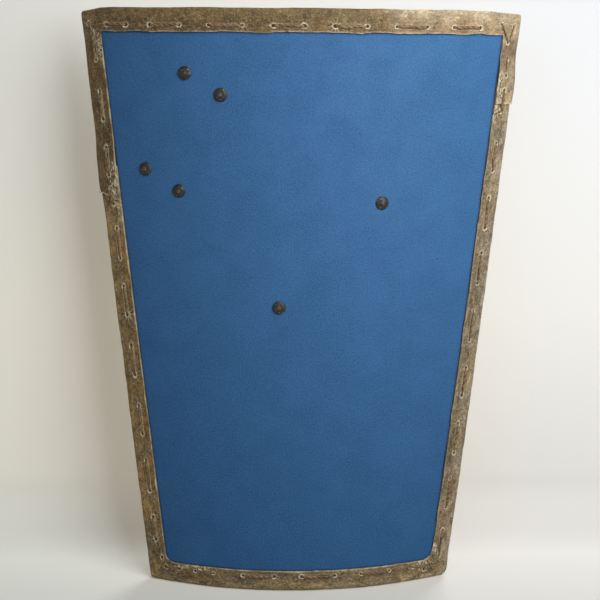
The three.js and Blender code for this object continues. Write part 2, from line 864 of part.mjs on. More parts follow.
// A round bar bent into a closed frame in the x, z plane.
function buckleFrame() {
  const half = forearmStrapWidth / 2 + buckleSideSlack + barRadius;
  const path = [];
  const addCorner = (x, z, rounding, from) => {
    for (let step = 0; step <= buckleCornerSteps; step++) {
      const angle = from + (Math.PI / 2) * (step / buckleCornerSteps);
      path.push([x + rounding * Math.cos(angle), z + rounding * Math.sin(angle)]);
    }
  };
  const far = buckleLength - buckleFrontRounding;
  addCorner(far, half - buckleFrontRounding, buckleFrontRounding, 0);
  addCorner(buckleHeelRounding, half - buckleHeelRounding, buckleHeelRounding, Math.PI / 2);
  addCorner(buckleHeelRounding, buckleHeelRounding - half, buckleHeelRounding, Math.PI);
  addCorner(far, buckleFrontRounding - half, buckleFrontRounding, 1.5 * Math.PI);
  const rings = path.map(([x, z], i) => {
    const before = path[(i + path.length - 1) % path.length];
    const after = path[(i + 1) % path.length];
    const out = new THREE.Vector2(after[1] - before[1], before[0] - after[0]).normalize();
    return Array.from({ length: barSides }, (unused, k) => {
      const angle = (2 * Math.PI * k) / barSides;
      const reach = barRadius * Math.cos(angle);
      return new THREE.Vector3(x + out.x * reach, barRadius * Math.sin(angle), z + out.y * reach);
    });
  });
  return loft(rings, [], true);
}

// The tongue: an eye round the heel bar and an arm up through the billet to rest on the front bar.
function buckleTongue() {
  const eyeRadius = barRadius + barSlack + tongueEyeWall;
  const rest = tongueTop - barHeight;
  const tip = frontBarX - barOffset + tongueOverhang;
  const arm = [
    new THREE.Vector2(barRadius / 2, eyeRadius - tongueThickness / 2),
    new THREE.Vector2(eyeRadius, billetLift),
    new THREE.Vector2(eyeRadius + tongueThickness, rest),
    new THREE.Vector2(tip, rest),
  ];
  const halfWidth = tongueWidth / 2;
  const halfWidths = [halfWidth, halfWidth, halfWidth, halfWidth / 2];
  const eye = prism(eyeRadius, tongueWidth, tongueEyeSides).rotateX(Math.PI / 2);
  const bore = prism(barRadius + barSlack, 2 * tongueWidth, tongueEyeSides).rotateX(Math.PI / 2);
  const made = solidFrom(eye).add(ribbon(arm, halfWidths, tongueThickness));
  return made.subtract(solidFrom(bore));
}

// The keeper: a leather band round the strap and the billet's tail, drawn across and up.
function keeper() {
  const halfAcross = forearmStrapWidth / 2 + keeperSideSlack;
  const low = barHeight + chapeRadius - leatherThickness / 2 - layerGap;
  const high = barHeight + billetLift + leatherThickness / 2 + layerGap;
  const band = roundedBox(halfAcross + keeperThickness, low - keeperThickness, high + keeperThickness);
  const inside = new THREE.Path([
    new THREE.Vector2(-halfAcross, low),
    new THREE.Vector2(-halfAcross, high),
    new THREE.Vector2(halfAcross, high),
    new THREE.Vector2(halfAcross, low),
  ]);
  band.holes.push(inside);
  const geometry = slab(band, keeperLength, keeperRoundingSteps);
  geometry.rotateY(Math.PI / 2);
  geometry.translate(barOffset - keeperPlace - keeperLength / 2, 0, 0);
  return solidFrom(geometry);
}

// A rounded outline from -half to half, between two heights.
function roundedBox(half, low, high) {
  const r = keeperRounding;
  const shape = new THREE.Shape();
  shape.moveTo(r - half, low);
  shape.lineTo(half - r, low);
  shape.quadraticCurveTo(half, low, half, low + r);
  shape.lineTo(half, high - r);
  shape.quadraticCurveTo(half, high, half - r, high);
  shape.lineTo(r - half, high);
  shape.quadraticCurveTo(-half, high, -half, high - r);
  shape.lineTo(-half, low + r);
  shape.quadraticCurveTo(-half, low, r - half, low);
  return shape;
}

// Assembly

const shield = new THREE.Group();

function addBoard() {
  shield.add(namedMesh("canvas_facing", boardLayer(0, canvasThickness), painted));
  shield.add(namedMesh("plywood_board", boardLayer(boardDepth, boardThickness), birch));
}

function addRim() {
  const { left, bottom, right, top } = laceLines;
  const { topLeft, bottomLeft, bottomRight, topRight } = corners;
  const leftStart = leftLegLength - leftLapLength + layerGap;
  const rightStart = rightLegLength - rightLapLength + layerGap;
  const leftStrip = sideStrip(topLeft, bottomLeft, inward.left, mitres.bottomLeft, leftStart);
  const rightStrip = sideStrip(topRight, bottomRight, inward.right, mitres.bottomRight, rightStart);
  const strips = {
    rim_top: [left, right, top].reduce(laceHoled, topStrip()),
    rim_left: laceHoled(leftStrip, left),
    rim_right: laceHoled(rightStrip, right),
    rim_bottom: laceHoled(bottomStrip(), bottom),
  };
  for (const [name, solid] of Object.entries(strips)) shield.add(namedMesh(name, solid, rawhide));
  shield.add(namedMesh("lace_top", lace(top), thong));
  shield.add(namedMesh("lace_left", lace(left, leftLapped), thong));
  shield.add(namedMesh("lace_right", lace(right, rightLapped), thong));
  shield.add(namedMesh("lace_bottom", lace(bottom), thong));
}

function addStraps() {
  const hand = plainStrap(handStrap, handStrapWidth, handStrapClear);
  const wrist = plainStrap(wristStrap, wristStrapWidth, wristStrapClear);
  shield.add(namedMesh("hand_grip_strap", hand, harness));
  shield.add(namedMesh("wrist_strap", wrist, harness));
  shield.add(namedMesh("forearm_buckle_strap", buckleHalf(), harness));
  shield.add(namedMesh("forearm_billet_strap", billetHalf(), harness));
}

function addRivets() {
  places.forEach((place, i) => {
    shield.add(namedMesh(`rivet_rose_${i + 1}`, rose(place), iron));
    shield.add(namedMesh(`rivet_${i + 1}`, rivet(place), iron));
    shield.add(namedMesh(`rivet_washer_${i + 1}`, washer(place), iron));
  });
}

// The buckle and keeper stand in the forearm strap's straight frame.
function addBuckle() {
  const standing = new THREE.Group();
  standing.applyMatrix4(forearmStrap.standing);
  const heel = new THREE.Group();
  heel.position.set(barOffset, barHeight, 0);
  const frame = namedMesh("buckle_frame", buckleFrame(), iron);
  frame.rotation.z = radians(buckleTilt);
  heel.add(frame, namedMesh("buckle_tongue", buckleTongue(), iron));
  standing.add(heel, namedMesh("strap_keeper", keeper(), harness));
  shield.add(standing);
}

addBoard();
addRim();
addStraps();
addRivets();
addBuckle();

// Stands the shield on its bottom edge over the origin.
const root = new THREE.Group();
root.add(shield);
const box = new THREE.Box3().setFromObject(shield, true);
const middle = box.getCenter(new THREE.Vector3());
shield.position.set(-middle.x, -middle.y, -box.min.z);

export default root;
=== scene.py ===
"""A hand-held curved shield: painted canvas over a bent plywood board, edged with laced rawhide, with
riveted leather arm straps behind. Metres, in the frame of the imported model: +Z up, the painted face
towards -Y."""

import math

import bpy
import numpy as np
from mathutils import Matrix, Vector


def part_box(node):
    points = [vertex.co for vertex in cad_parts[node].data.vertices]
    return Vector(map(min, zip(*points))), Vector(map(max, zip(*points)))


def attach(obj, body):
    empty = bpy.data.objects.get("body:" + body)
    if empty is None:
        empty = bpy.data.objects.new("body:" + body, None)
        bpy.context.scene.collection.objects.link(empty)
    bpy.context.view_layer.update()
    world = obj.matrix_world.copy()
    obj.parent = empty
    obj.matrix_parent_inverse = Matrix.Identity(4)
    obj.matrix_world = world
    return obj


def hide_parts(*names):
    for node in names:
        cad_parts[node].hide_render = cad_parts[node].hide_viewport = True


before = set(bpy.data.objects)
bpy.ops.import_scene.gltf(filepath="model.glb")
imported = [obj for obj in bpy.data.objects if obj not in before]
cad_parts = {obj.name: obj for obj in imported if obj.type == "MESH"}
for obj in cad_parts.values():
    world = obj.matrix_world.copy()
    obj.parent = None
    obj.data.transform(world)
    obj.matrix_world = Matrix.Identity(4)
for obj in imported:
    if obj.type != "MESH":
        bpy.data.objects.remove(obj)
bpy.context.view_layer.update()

# Outline and layers, as in the part: widths run round the bend, depths go back from the painted face.
HEIGHT = 0.850
TOP_WIDTH = 0.665
BOTTOM_WIDTH = 0.471
BEND_RADIUS = 0.560
CREST_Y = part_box("canvas_facing")[0].y
GAP = 0.0003
CANVAS = 0.001
BOARD = 0.008
RAWHIDE = 0.002
LEATHER = 0.003
BOARD_DEPTH = CANVAS + GAP
BACK_DEPTH = BOARD_DEPTH + BOARD
RIM_FRONT = -GAP - RAWHIDE
RIM_BACK = BACK_DEPTH + GAP + RAWHIDE
MIDDLE_DEPTH = BACK_DEPTH / 2
LAP_LIFT = RAWHIDE + GAP
BOARD_INSET = RAWHIDE + GAP

# Rim: the folded strip, its outer corners, and the slope and rounding of its inner ones.
RIM_WIDTH = 0.0325
RIM_BACK_WIDTH = 0.030
RIM_ROUNDING = 0.004
CORNER_ROUNDING = {"top_left": 0.005, "bottom_left": 0.005, "bottom_right": 0.011, "top_right": 0.006}
CORNER_SHEAR = 0.075
INNER_FILLET = {"top_left": 0.003, "bottom_left": 0.015, "bottom_right": 0.018, "top_right": 0.003}
FILLET_RUN = 0.030
# How far the worn top corners sink, and over what runs.
WORN_LEFT = 0.0045
WORN_LEFT_RUN = 0.040
WORN_RIGHT = 0.0035
WORN_RIGHT_RUN = 0.075
WORN_HEIGHT = 0.045
# The top strip's legs down the sides, their laps over the side strips and their slanted ends.
LEFT_LEG = 0.266
RIGHT_LEG = 0.132
LEFT_LAP = 0.042
RIGHT_LAP = 0.030
JOGGLE = 0.006
LAP_SWELL = 0.045
LEFT_SLANT = 0.016
RIGHT_SLANT = 0.003
# Distances between a strip's stations, and how far the close ones reach from a lace hole.
STATION_STEP = 0.003
CLOSE_STEP = 0.0006
CLOSE_REACH = 0.005

# Lacing: how far in the holes are, and the thongs, with their widths as shares of the full one.
END_INSET = 0.024
SIDE_INSET = 0.0195
THONG_WIDTH = 0.0046
THONG_THICKNESS = 0.0022
THONG_SHARES = {"left": 0.96, "top": 1.10, "right": 1.06, "bottom": 1.0}
CORNER_THONG_SHARE = 0.62
KNOT_THONG_SHARE = 0.60
THONG_TAIL = 0.012
THONG_STEP = 0.0011
THONG_SIDES = 14
TWIST_PITCH = 0.0085
STITCH_POINTS = 28
FRONT_LACE = RIM_FRONT - THONG_THICKNESS / 2
BACK_LACE = RIM_BACK + GAP + THONG_THICKNESS / 2
# The holes along each edge, as shares of its length.
LEFT_SHARES = [
    0.043, 0.088, 0.138, 0.184, 0.232, 0.276, 0.299, 0.324, 0.367, 0.418,
    0.466, 0.515, 0.570, 0.621, 0.677, 0.729, 0.776, 0.832, 0.883, 0.923,
]
BOTTOM_SHARES = [0.060, 0.105, 0.161, 0.221, 0.317, 0.415, 0.504, 0.607, 0.694, 0.788, 0.872, 0.934]
RIGHT_SHARES = [
    0.040, 0.087, 0.131, 0.185, 0.233, 0.286, 0.339, 0.388, 0.438, 0.490,
    0.539, 0.591, 0.636, 0.686, 0.733, 0.779, 0.833, 0.867, 0.892, 0.919,
]
TOP_SHARES = [
    0.119, 0.183, 0.246, 0.313, 0.376, 0.441, 0.504, 0.566, 0.629, 0.698, 0.761, 0.825, 0.882, 0.929,
]

# Rivets: a domed rose on the face, a shank peened over it and a washer behind.
ROSE_RADIUS = 0.0096
ROSE_HEIGHT = 0.0034
ROSE_THICKNESS = 0.0014
PEEN_RADIUS = 0.0033
PEEN_HEIGHT = 0.0013
SHANK_RADIUS = 0.002
WASHER_RADIUS = 0.009
WASHER_THICKNESS = 0.0012
WASHER_BEVEL = 0.0003
BACK_HEAD_RADIUS = 0.0055
BACK_HEAD_HEIGHT = 0.0022
CENTRE_RADIUS = 0.00002
PEAK_RADIUS = 0.0004

# Straps: the centre as shares of the half width and height, the rivets' distance, the direction in
# degrees, the width and the room under the loop.
STRAPS = {
    "hand": {"centre": (-0.595, 0.818), "span": 0.147, "angle": 65.2, "width": 0.028, "clear": 0.048},
    "wrist": {"centre": (-0.442, 0.7845), "span": 0.147, "angle": 65.3, "width": 0.025, "clear": 0.062},
    "forearm": {"centre": (0.114, 0.6023), "span": 0.207, "angle": 225.8, "width": 0.028, "clear": 0.084},
}
# Their riveted feet and the legs of their loops.
FOOT_REACH = 0.013
FOOT_RUN = 0.019
HAND_LEG_RUN = 0.012
FOREARM_LEG_RUN = 0.026
FOOT_BEND = 0.010
SHOULDER_BEND = 0.024
BLEND_HEIGHT = 0.024
# The slots for the tongue and the billet's spare holes.
SLOT_HALF_WIDTH = 0.0021
CHAPE_SLOT_HALF_LENGTH = 0.008
BILLET_SLOT_HALF_LENGTH = 0.0075
BILLET_SLOT_OFFSET = 0.0051
BILLET_HOLE_RADIUS = 0.0024
BILLET_HOLE_PITCH = 0.024

# Buckle, about its heel bar.
BAR_RADIUS = 0.002
BAR_SLACK = 0.0003
BUCKLE_LENGTH = 0.032
BUCKLE_TILT = math.radians(12)
BUCKLE_SLACK = 0.001
BUCKLE_FRONT_ROUNDING = 0.005
BUCKLE_HEEL_ROUNDING = 0.003
BAR_OFFSET = 0.008
CHAPE_LENGTH = 0.027
CHAPE_RADIUS = BAR_RADIUS + BAR_SLACK + LEATHER / 2
BAR_HEIGHT = STRAPS["forearm"]["clear"] + GAP + CHAPE_RADIUS + LEATHER / 2
BILLET_LIFT = CHAPE_RADIUS + LEATHER + GAP
BILLET_TAIL = 0.078
FRONT_BAR_X = BAR_OFFSET + BUCKLE_LENGTH * math.cos(BUCKLE_TILT)
FRONT_BAR_HEIGHT = BAR_HEIGHT + BUCKLE_LENGTH * math.sin(BUCKLE_TILT)
BILLET_UNDER_BAR = FRONT_BAR_HEIGHT - BAR_RADIUS - GAP - LEATHER / 2
# Keeper, and the stitches of the chape.
KEEPER_PLACE = 0.038
KEEPER_LENGTH = 0.012
KEEPER_THICKNESS = 0.0022
KEEPER_SLACK = 0.0005
KEEPER_ROUNDING = 0.0018
KEEPER_SIDES = 24
STITCH_ROW = 0.0105
STITCH_FIRST = -0.0245
STITCH_LAST = -0.0085
STITCH_PITCH = 0.0036
STITCH_HALF_LENGTH = 0.0014
THREAD_RADIUS = 0.0004

# Camera fitted to the outline in the 600 px photograph, about a target on the shield.
IMAGE_SIZE = 600
FOCAL_PIXELS = 1123.9
CAMERA_DISTANCE = 1.620
CAMERA_ELEVATION = math.radians(13.18)
CAMERA_AZIMUTH = math.radians(-2.584)
CAMERA_ROLL = math.radians(-0.536)
CAMERA_TARGET = (-0.00343, CREST_Y + 0.030, 0.4424)
SENSOR_WIDTH = 36.0

rng = np.random.default_rng(7)


# Surfaces


def on_shield(u, v, depth):
    """Bends the flat pattern: x is (R - depth) sin(u / R) and y is R - (R - depth) cos(u / R) behind
    the crest."""
    u, v, depth = np.broadcast_arrays(u, v, depth)
    angle = u / BEND_RADIUS
    radius = BEND_RADIUS - depth
    y = CREST_Y + BEND_RADIUS - radius * np.cos(angle)
    return np.stack([radius * np.sin(angle), y, v], -1)


def lattice(seed, size=128):
    """A square table of random values from -1 to 1 that smooth noise is read from."""
    return np.random.default_rng(seed).uniform(-1, 1, (size, size))


def smooth_noise(x, y, pitch, seed):
    """Value noise: the table's four values round a point, mixed by 3f^2 - 2f^3 of the place between
    them."""
    table = lattice(seed)
    size = len(table)
    x, y = np.broadcast_arrays(np.asarray(x) / pitch + 1000, np.asarray(y) / pitch + 1000)
    i, j = np.floor(x).astype(int), np.floor(y).astype(int)
    f, g = x - i, y - j
    f, g = f * f * (3 - 2 * f), g * g * (3 - 2 * g)
    low = table[i % size, j % size] * (1 - f) + table[(i + 1) % size, j % size] * f
    high = table[i % size, (j + 1) % size] * (1 - f) + table[(i + 1) % size, (j + 1) % size] * f
    return low * (1 - g) + high * g


def noise_over(flat, pitch, seed):
    """Smooth noise read at flat points."""
    return smooth_noise(flat[..., 0], flat[..., 1], pitch, seed)


def smoothstep(x, low, high):
    """Rises from 0 at low to 1 at high as 3s^2 - 2s^3."""
    s = np.clip((x - low) / (high - low), 0, 1)
    return s * s * (3 - 2 * s)


def grid_quads(rows, columns, loop_rows=False, loop_columns=False):
    """Quads between neighbouring points of a grid, row by row, joined round where it loops."""
    r = np.arange(rows if loop_rows else rows - 1)
    c = np.arange(columns if loop_columns else columns - 1)
    r, c = np.meshgrid(r, c, indexing="ij")
    after_r, after_c = (r + 1) % rows, (c + 1) % columns
    quads = [r * columns + c, after_r * columns + c, after_r * columns + after_c, r * columns + after_c]
    return np.stack(quads, -1).reshape(-1, 4)


def capped_quads(rows, columns):
    """The faces of a tube: quads between its rings and one face over each end."""
    faces = grid_quads(rows, columns, loop_columns=True).tolist()
    return faces + [list(range(columns))[::-1], list(range((rows - 1) * columns, rows * columns))]


def run_along(path):
    """The running length at each point of a path."""
    return np.concatenate([[0], np.cumsum(np.linalg.norm(np.diff(path, axis=0), axis=1))])


def enclosed_volume(mesh):
    """The volume inside a closed mesh: a sixth of the sum of a . (b x c) over its triangles."""
    mesh.calc_loop_triangles()
    places = np.zeros(len(mesh.vertices) * 3)
    mesh.vertices.foreach_get("co", places)
    corners = np.zeros(len(mesh.loop_triangles) * 3, np.int32)
    mesh.loop_triangles.foreach_get("vertices", corners)
    a, b, c = np.moveaxis(places.reshape(-1, 3)[corners.reshape(-1, 3)], 1, 0)
    return (a * np.cross(b, c)).sum() / 6


def outward_mesh(name, points, faces, crease):
    """A smooth mesh whose faces look outwards, with edges sharper than the crease left sharp."""
    mesh = bpy.data.meshes.new(name)
    mesh.from_pydata(np.asarray(points).reshape(-1, 3).tolist(), [], faces)
    if enclosed_volume(mesh) < 0:
        mesh.flip_normals()
    mesh.polygons.foreach_set("use_smooth", np.ones(len(mesh.polygons), bool))
    mesh.set_sharp_from_angle(angle=math.radians(crease))
    return mesh


def set_mask(mesh, mask, values):
    """Stores one value for each point, which the materials read by the mask's name."""
    attribute = mesh.attributes.new(mask, "FLOAT", "POINT")
    attribute.data.foreach_set("value", np.asarray(values, np.float32).ravel())


def new_piece(name, points, faces, masks=None, uv=None, crease=50):
    """A mesh object from points and faces, with point masks and a UV for each point."""
    mesh = outward_mesh(name, points, faces, crease)
    for mask, values in (masks or {}).items():
        set_mask(mesh, mask, values)
    if uv is not None:
        corners = np.zeros(len(mesh.loops), np.int32)
        mesh.loops.foreach_get("vertex_index", corners)
        layer = mesh.uv_layers.new(name="run")
        layer.data.foreach_set("uv", np.asarray(uv, np.float32).reshape(-1, 2)[corners].ravel())
    piece = bpy.data.objects.new(name, mesh)
    bpy.context.scene.collection.objects.link(piece)
    return piece


def dress(piece, body, slot, look, *nodes):
    """Gives a piece its look, lets it ride on a body and hides the nodes it replaces. The slot is not
    used."""
    piece.data.materials.append(look)
    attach(piece, body)
    if nodes:
        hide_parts(*nodes)


def tube(points, side, half_width, half_thickness, sides, squareness, twist=0.0):
    """Rings along a path: each is a superellipse in the side vector and the vector square to both.
    Gives the ring points and the running length, a row for each path point."""
    points = np.asarray(points, float)
    along = np.gradient(points, axis=0)
    along /= np.linalg.norm(along, axis=1, keepdims=True)
    side = np.broadcast_to(side, points.shape).astype(float)
    side = side - (side * along).sum(1, keepdims=True) * along
    side /= np.linalg.norm(side, axis=1, keepdims=True)
    up = np.cross(along, side)
    turn = np.broadcast_to(twist, len(points))[:, None]
    side, up = side * np.cos(turn) + up * np.sin(turn), up * np.cos(turn) - side * np.sin(turn)
    angle = np.linspace(0, 2 * np.pi, sides, endpoint=False)
    power = 2 / squareness
    a = np.sign(np.cos(angle)) * np.abs(np.cos(angle)) ** power
    b = np.sign(np.sin(angle)) * np.abs(np.sin(angle)) ** power
    wide = np.broadcast_to(half_width, len(points))[:, None, None] * a[None, :, None]
    thick = np.broadcast_to(half_thickness, len(points))[:, None, None] * b[None, :, None]
    rings = points[:, None] + side[:, None] * wide + up[:, None] * thick
    return rings, run_along(points)


def loop_tube(points, side, half_width, half_thickness, sides, squareness):
    """Rings along a closed path, worked out on a path two points longer at each end, so that they
    meet."""
    longer = np.concatenate([points[-2:], points, points[:2]])
    rings, run = tube(longer, side, half_width, half_thickness, sides, squareness)
    return rings[2:-2], run[2:-2]


def tube_piece(name, rings, run, loop=False):
    """A closed tube from its rings, ends filled unless it loops, with running length and turn as UV."""
    rows, columns = rings.shape[:2]
    faces = grid_quads(rows, columns, True, True).tolist() if loop else capped_quads(rows, columns)
    turn = np.linspace(0, 1, columns, endpoint=False)
    uv = np.stack(np.broadcast_arrays(run[:, None], turn[None, :]), -1)
    return new_piece(name, rings, faces, uv=uv, crease=60)


def even_path(points, step):
    """The same path with its points an even step apart."""
    points = np.asarray(points, float)
    run = run_along(points)
    at = np.linspace(0, run[-1], max(int(run[-1] / step), 2) + 1)
    return np.stack([np.interp(at, run, points[:, k]) for k in range(points.shape[1])], -1)


def quarter_frame(corners, arc_points, step):
    """A closed path round four quarter circles, each (x, y, radius, first angle), in even steps."""
    arcs = []
    for x, y, radius, start in corners:
        turn = np.linspace(start, start + np.pi / 2, arc_points)
        arcs.append(np.stack([x + radius * np.cos(turn), y + radius * np.sin(turn)], 1))
    return even_path(np.concatenate([*arcs, arcs[0][:1]]), step)[:-1]


def join(name, parts):
    """One mesh from several (points, faces) pairs."""
    points, faces, start = [], [], 0
    for some_points, some_faces in parts:
        some_points = np.asarray(some_points).reshape(-1, 3)
        points.append(some_points)
        faces += [[i + start for i in face] for face in some_faces]
        start += len(some_points)
    piece = bpy.data.objects.new(name, outward_mesh(name, np.concatenate(points), faces, 60))
    bpy.context.scene.collection.objects.link(piece)
    return piece


# Materials


def material(name):
    """A new node material and its shader."""
    made = bpy.data.materials.new(name)
    made.use_nodes = True
    return made, made.node_tree, made.node_tree.nodes["Principled BSDF"]


def node(tree, kind, **inputs):
    """Adds a node; each keyword is one of its inputs, with underscores for spaces, and a value or
    socket."""
    made = tree.nodes.new(kind)
    for name, value in inputs.items():
        put(tree, made, name.replace("_", " "), value)
    return made


def put(tree, to, name, value):
    """Links a socket to an input, or sets the input's own value."""
    socket = to.inputs[name]
    if isinstance(value, bpy.types.NodeSocket):
        tree.links.new(value, socket)
    else:
        socket.default_value = value


def math_node(tree, operation, first, second=0.0):
    """The result of one operation on two values."""
    made = tree.nodes.new("ShaderNodeMath")
    made.operation = operation
    put(tree, made, 0, first)
    put(tree, made, 1, second)
    return made.outputs[0]


def plus(tree, first, second):
    """Their sum."""
    return math_node(tree, "ADD", first, second)


def times(tree, first, second):
    """Their product."""
    return math_node(tree, "MULTIPLY", first, second)


def either(tree, first, second):
    """The larger of two values."""
    return math_node(tree, "MAXIMUM", first, second)


def axes(tree, vector):
    """The X, Y and Z of a vector."""
    return node(tree, "ShaderNodeSeparateXYZ", Vector=vector).outputs


def mix_colours(tree, share, first, second, blend="MIX"):
    """The first colour where the share is 0 and the second, or the blend of both, where it is 1."""
    made = tree.nodes.new("ShaderNodeMix")
    made.data_type = "RGBA"
    made.blend_type = blend
    put(tree, made, 0, share)
    put(tree, made, 6, first)
    put(tree, made, 7, second)
    return made.outputs[2]


def multiplied(tree, colour, tint):
    """The colour times a tint."""
    return mix_colours(tree, 1.0, colour, tint, "MULTIPLY")


def tinted(tree, share, colour, tint):
    """The colour, multiplied by a tint where the share is 1."""
    return mix_colours(tree, share, colour, multiplied(tree, colour, (*tint, 1)))


def ramp(tree, value, low, high, to_low=0.0, to_high=1.0):
    """Carries a value from one range to another, and stops at its ends."""
    made = node(tree, "ShaderNodeMapRange", Value=value, From_Min=low, From_Max=high)
    put(tree, made, "To Min", to_low)
    put(tree, made, "To Max", to_high)
    return made.outputs[0]


def place(tree):
    """The point's place in the object's own frame."""
    return tree.nodes.new("ShaderNodeTexCoord").outputs["Object"]


def own_uv(tree):
    """The piece's own running UV."""
    made = tree.nodes.new("ShaderNodeUVMap")
    made.uv_map = "run"
    return made.outputs[0]


def own_mask(tree, name):
    """One of the piece's point masks."""
    made = tree.nodes.new("ShaderNodeAttribute")
    made.attribute_name = name
    return made.outputs["Fac"]


def noise(tree, vector, scale, detail=4.0, roughness=0.5, distortion=0.0):
    """A noise about 0.5."""
    made = node(tree, "ShaderNodeTexNoise", Vector=vector, Scale=scale, Detail=detail)
    put(tree, made, "Roughness", roughness)
    put(tree, made, "Distortion", distortion)
    return made.outputs["Fac"]


def stretched(tree, vector, x, y, z):
    """The vector scaled along each axis."""
    made = node(tree, "ShaderNodeMapping", Vector=vector)
    made.inputs["Scale"].default_value = (x, y, z)
    return made.outputs[0]


def bump(tree, height, distance, strength):
    """The normal that a height gives."""
    return node(tree, "ShaderNodeBump", Height=height, Distance=distance, Strength=strength).outputs[0]


def group(name, inputs, outputs):
    """An empty shader group with float inputs and outputs unless a socket type is given."""
    made = bpy.data.node_groups.new(name, "ShaderNodeTree")
    for socket, kind, value in inputs:
        added = made.interface.new_socket(socket, in_out="INPUT", socket_type="NodeSocket" + kind)
        if value is not None:
            added.default_value = value
    for socket, kind in outputs:
        made.interface.new_socket(socket, in_out="OUTPUT", socket_type="NodeSocket" + kind)
    return made, made.nodes.new("NodeGroupInput").outputs, made.nodes.new("NodeGroupOutput")


def mottle_group():
    """Cloudy variation laid over a colour: large patches and fine specks, each a noise."""
    made, given, out = group(
        "mottle",
        [
            ("Vector", "Vector", None),
            ("Colour", "Color", (0.5, 0.5, 0.5, 1)),
            ("Stain", "Color", (0.2, 0.2, 0.2, 1)),
            ("Patch Scale", "Float", 20.0),
            ("Patches", "Float", 0.5),
            ("Specks", "Float", 0.3),
        ],
        [("Colour", "Color"), ("Patches", "Float")],
    )
    patch = noise(made, given["Vector"], given["Patch Scale"], 5.0, 0.6, 0.4)
    patch = ramp(made, patch, 0.38, 0.68)
    fine = noise(made, given["Vector"], times(made, given["Patch Scale"], 9.0), 6.0, 0.7)
    fine = ramp(made, fine, 0.35, 0.75)
    share = plus(made, times(made, patch, given["Patches"]), times(made, fine, given["Specks"]))
    colour = mix_colours(made, share, given["Colour"], given["Stain"])
    made.links.new(colour, out.inputs["Colour"])
    made.links.new(patch, out.inputs["Patches"])
    return made


def pores_group():
    """Skin relief: wrinkles from a stretched noise and pores from small cells, as one height."""
    made, given, out = group(
        "skin_relief",
        [("Vector", "Vector", None), ("Scale", "Float", 300.0), ("Pores", "Float", 0.5)],
        [("Height", "Float")],
    )
    cells = node(made, "ShaderNodeTexVoronoi", Vector=given["Vector"], Scale=given["Scale"])
    pore = ramp(made, cells.outputs["Distance"], 0.0, 0.5)
    wrinkle = noise(made, given["Vector"], times(made, given["Scale"], 0.3), 5.0, 0.6, 0.5)
    made.links.new(plus(made, times(made, pore, given["Pores"]), wrinkle), out.inputs["Height"])
    return made


MOTTLE = mottle_group()
SKIN = pores_group()


def mottled(tree, vector, colour, stain, scale, patches, specks):
    """Places the mottle group with its own values and gives back its colour and its patches."""
    made = tree.nodes.new("ShaderNodeGroup")
    made.node_tree = MOTTLE
    put(tree, made, "Vector", vector)
    put(tree, made, "Colour", colour)
    put(tree, made, "Stain", stain)
    put(tree, made, "Patch Scale", scale)
    put(tree, made, "Patches", patches)
    put(tree, made, "Specks", specks)
    return made.outputs["Colour"], made.outputs["Patches"]


def skin_relief(tree, vector, scale, pores):
    """Places the skin relief group with its own values and gives back its height."""
    made = tree.nodes.new("ShaderNodeGroup")
    made.node_tree = SKIN
    put(tree, made, "Vector", vector)
    put(tree, made, "Scale", scale)
    put(tree, made, "Pores", pores)
    return made.outputs["Height"]


def painted_canvas():
    """Blue paint soaked into canvas: a weave of two crossing ribs, cloudy coverage and faint rubbed
    marks, with painted shade towards the bottom and a painted contact shadow with grime along the rim."""
    made, tree, shader = material("painted_canvas")
    where = own_uv(tree)
    paint, worn_paint = (0.0385, 0.137, 0.325, 1), (0.0262, 0.100, 0.240, 1)
    blue, patches = mottled(tree, where, paint, worn_paint, 17.0, 0.40, 0.25)
    # painted shade: the blue darkens and deepens towards the bottom of the shield
    low = ramp(tree, axes(tree, where)["Y"], 0.50, 0.05, 0.0, 0.85)
    blue = tinted(tree, low, blue, (0.68, 0.80, 0.84))
    grain = noise(tree, where, 420.0, 4.0, 0.65)
    blue = tinted(tree, ramp(tree, grain, 0.50, 0.62, 0.0, 0.75), blue, (1.50, 1.30, 1.20))
    blue = tinted(tree, ramp(tree, grain, 0.48, 0.37, 0.0, 0.75), blue, (0.66, 0.72, 0.76))
    rubbed = noise(tree, stretched(tree, where, 60.0, 18.0, 1.0), 1.0, 6.0, 0.75)
    blue = mix_colours(tree, ramp(tree, rubbed, 0.66, 0.86, 0.0, 0.18), blue, (0.11, 0.26, 0.46, 1))
    specks = ramp(tree, noise(tree, where, 200.0, 2.0, 0.5), 0.70, 0.76, 0.0, 0.55)
    blue = mix_colours(tree, specks, blue, (0.020, 0.050, 0.115, 1))
    # painted contact shadow, with grime, where the canvas meets the rim
    rim_shadow_and_grime = times(tree, own_mask(tree, "rim_shadow_and_grime"), 0.75)
    put(tree, shader, "Base Color", mix_colours(tree, rim_shadow_and_grime, blue, (0.012, 0.026, 0.055, 1)))
    ribs = []
    for direction in ("X", "Y"):
        wave = node(tree, "ShaderNodeTexWave", Vector=where, Scale=150.0, Distortion=0.6)
        wave.bands_direction = direction
        put(tree, wave, "Detail Scale", 3.0)
        ribs.append(wave.outputs["Fac"])
    cloth = plus(tree, times(tree, *ribs), noise(tree, where, 900.0, 3.0))
    put(tree, shader, "Normal", bump(tree, cloth, 0.00012, 0.6))
    put(tree, shader, "Roughness", ramp(tree, patches, 0.0, 1.0, 0.62, 0.74))
    shader.inputs["Specular IOR Level"].default_value = 0.26
    return made


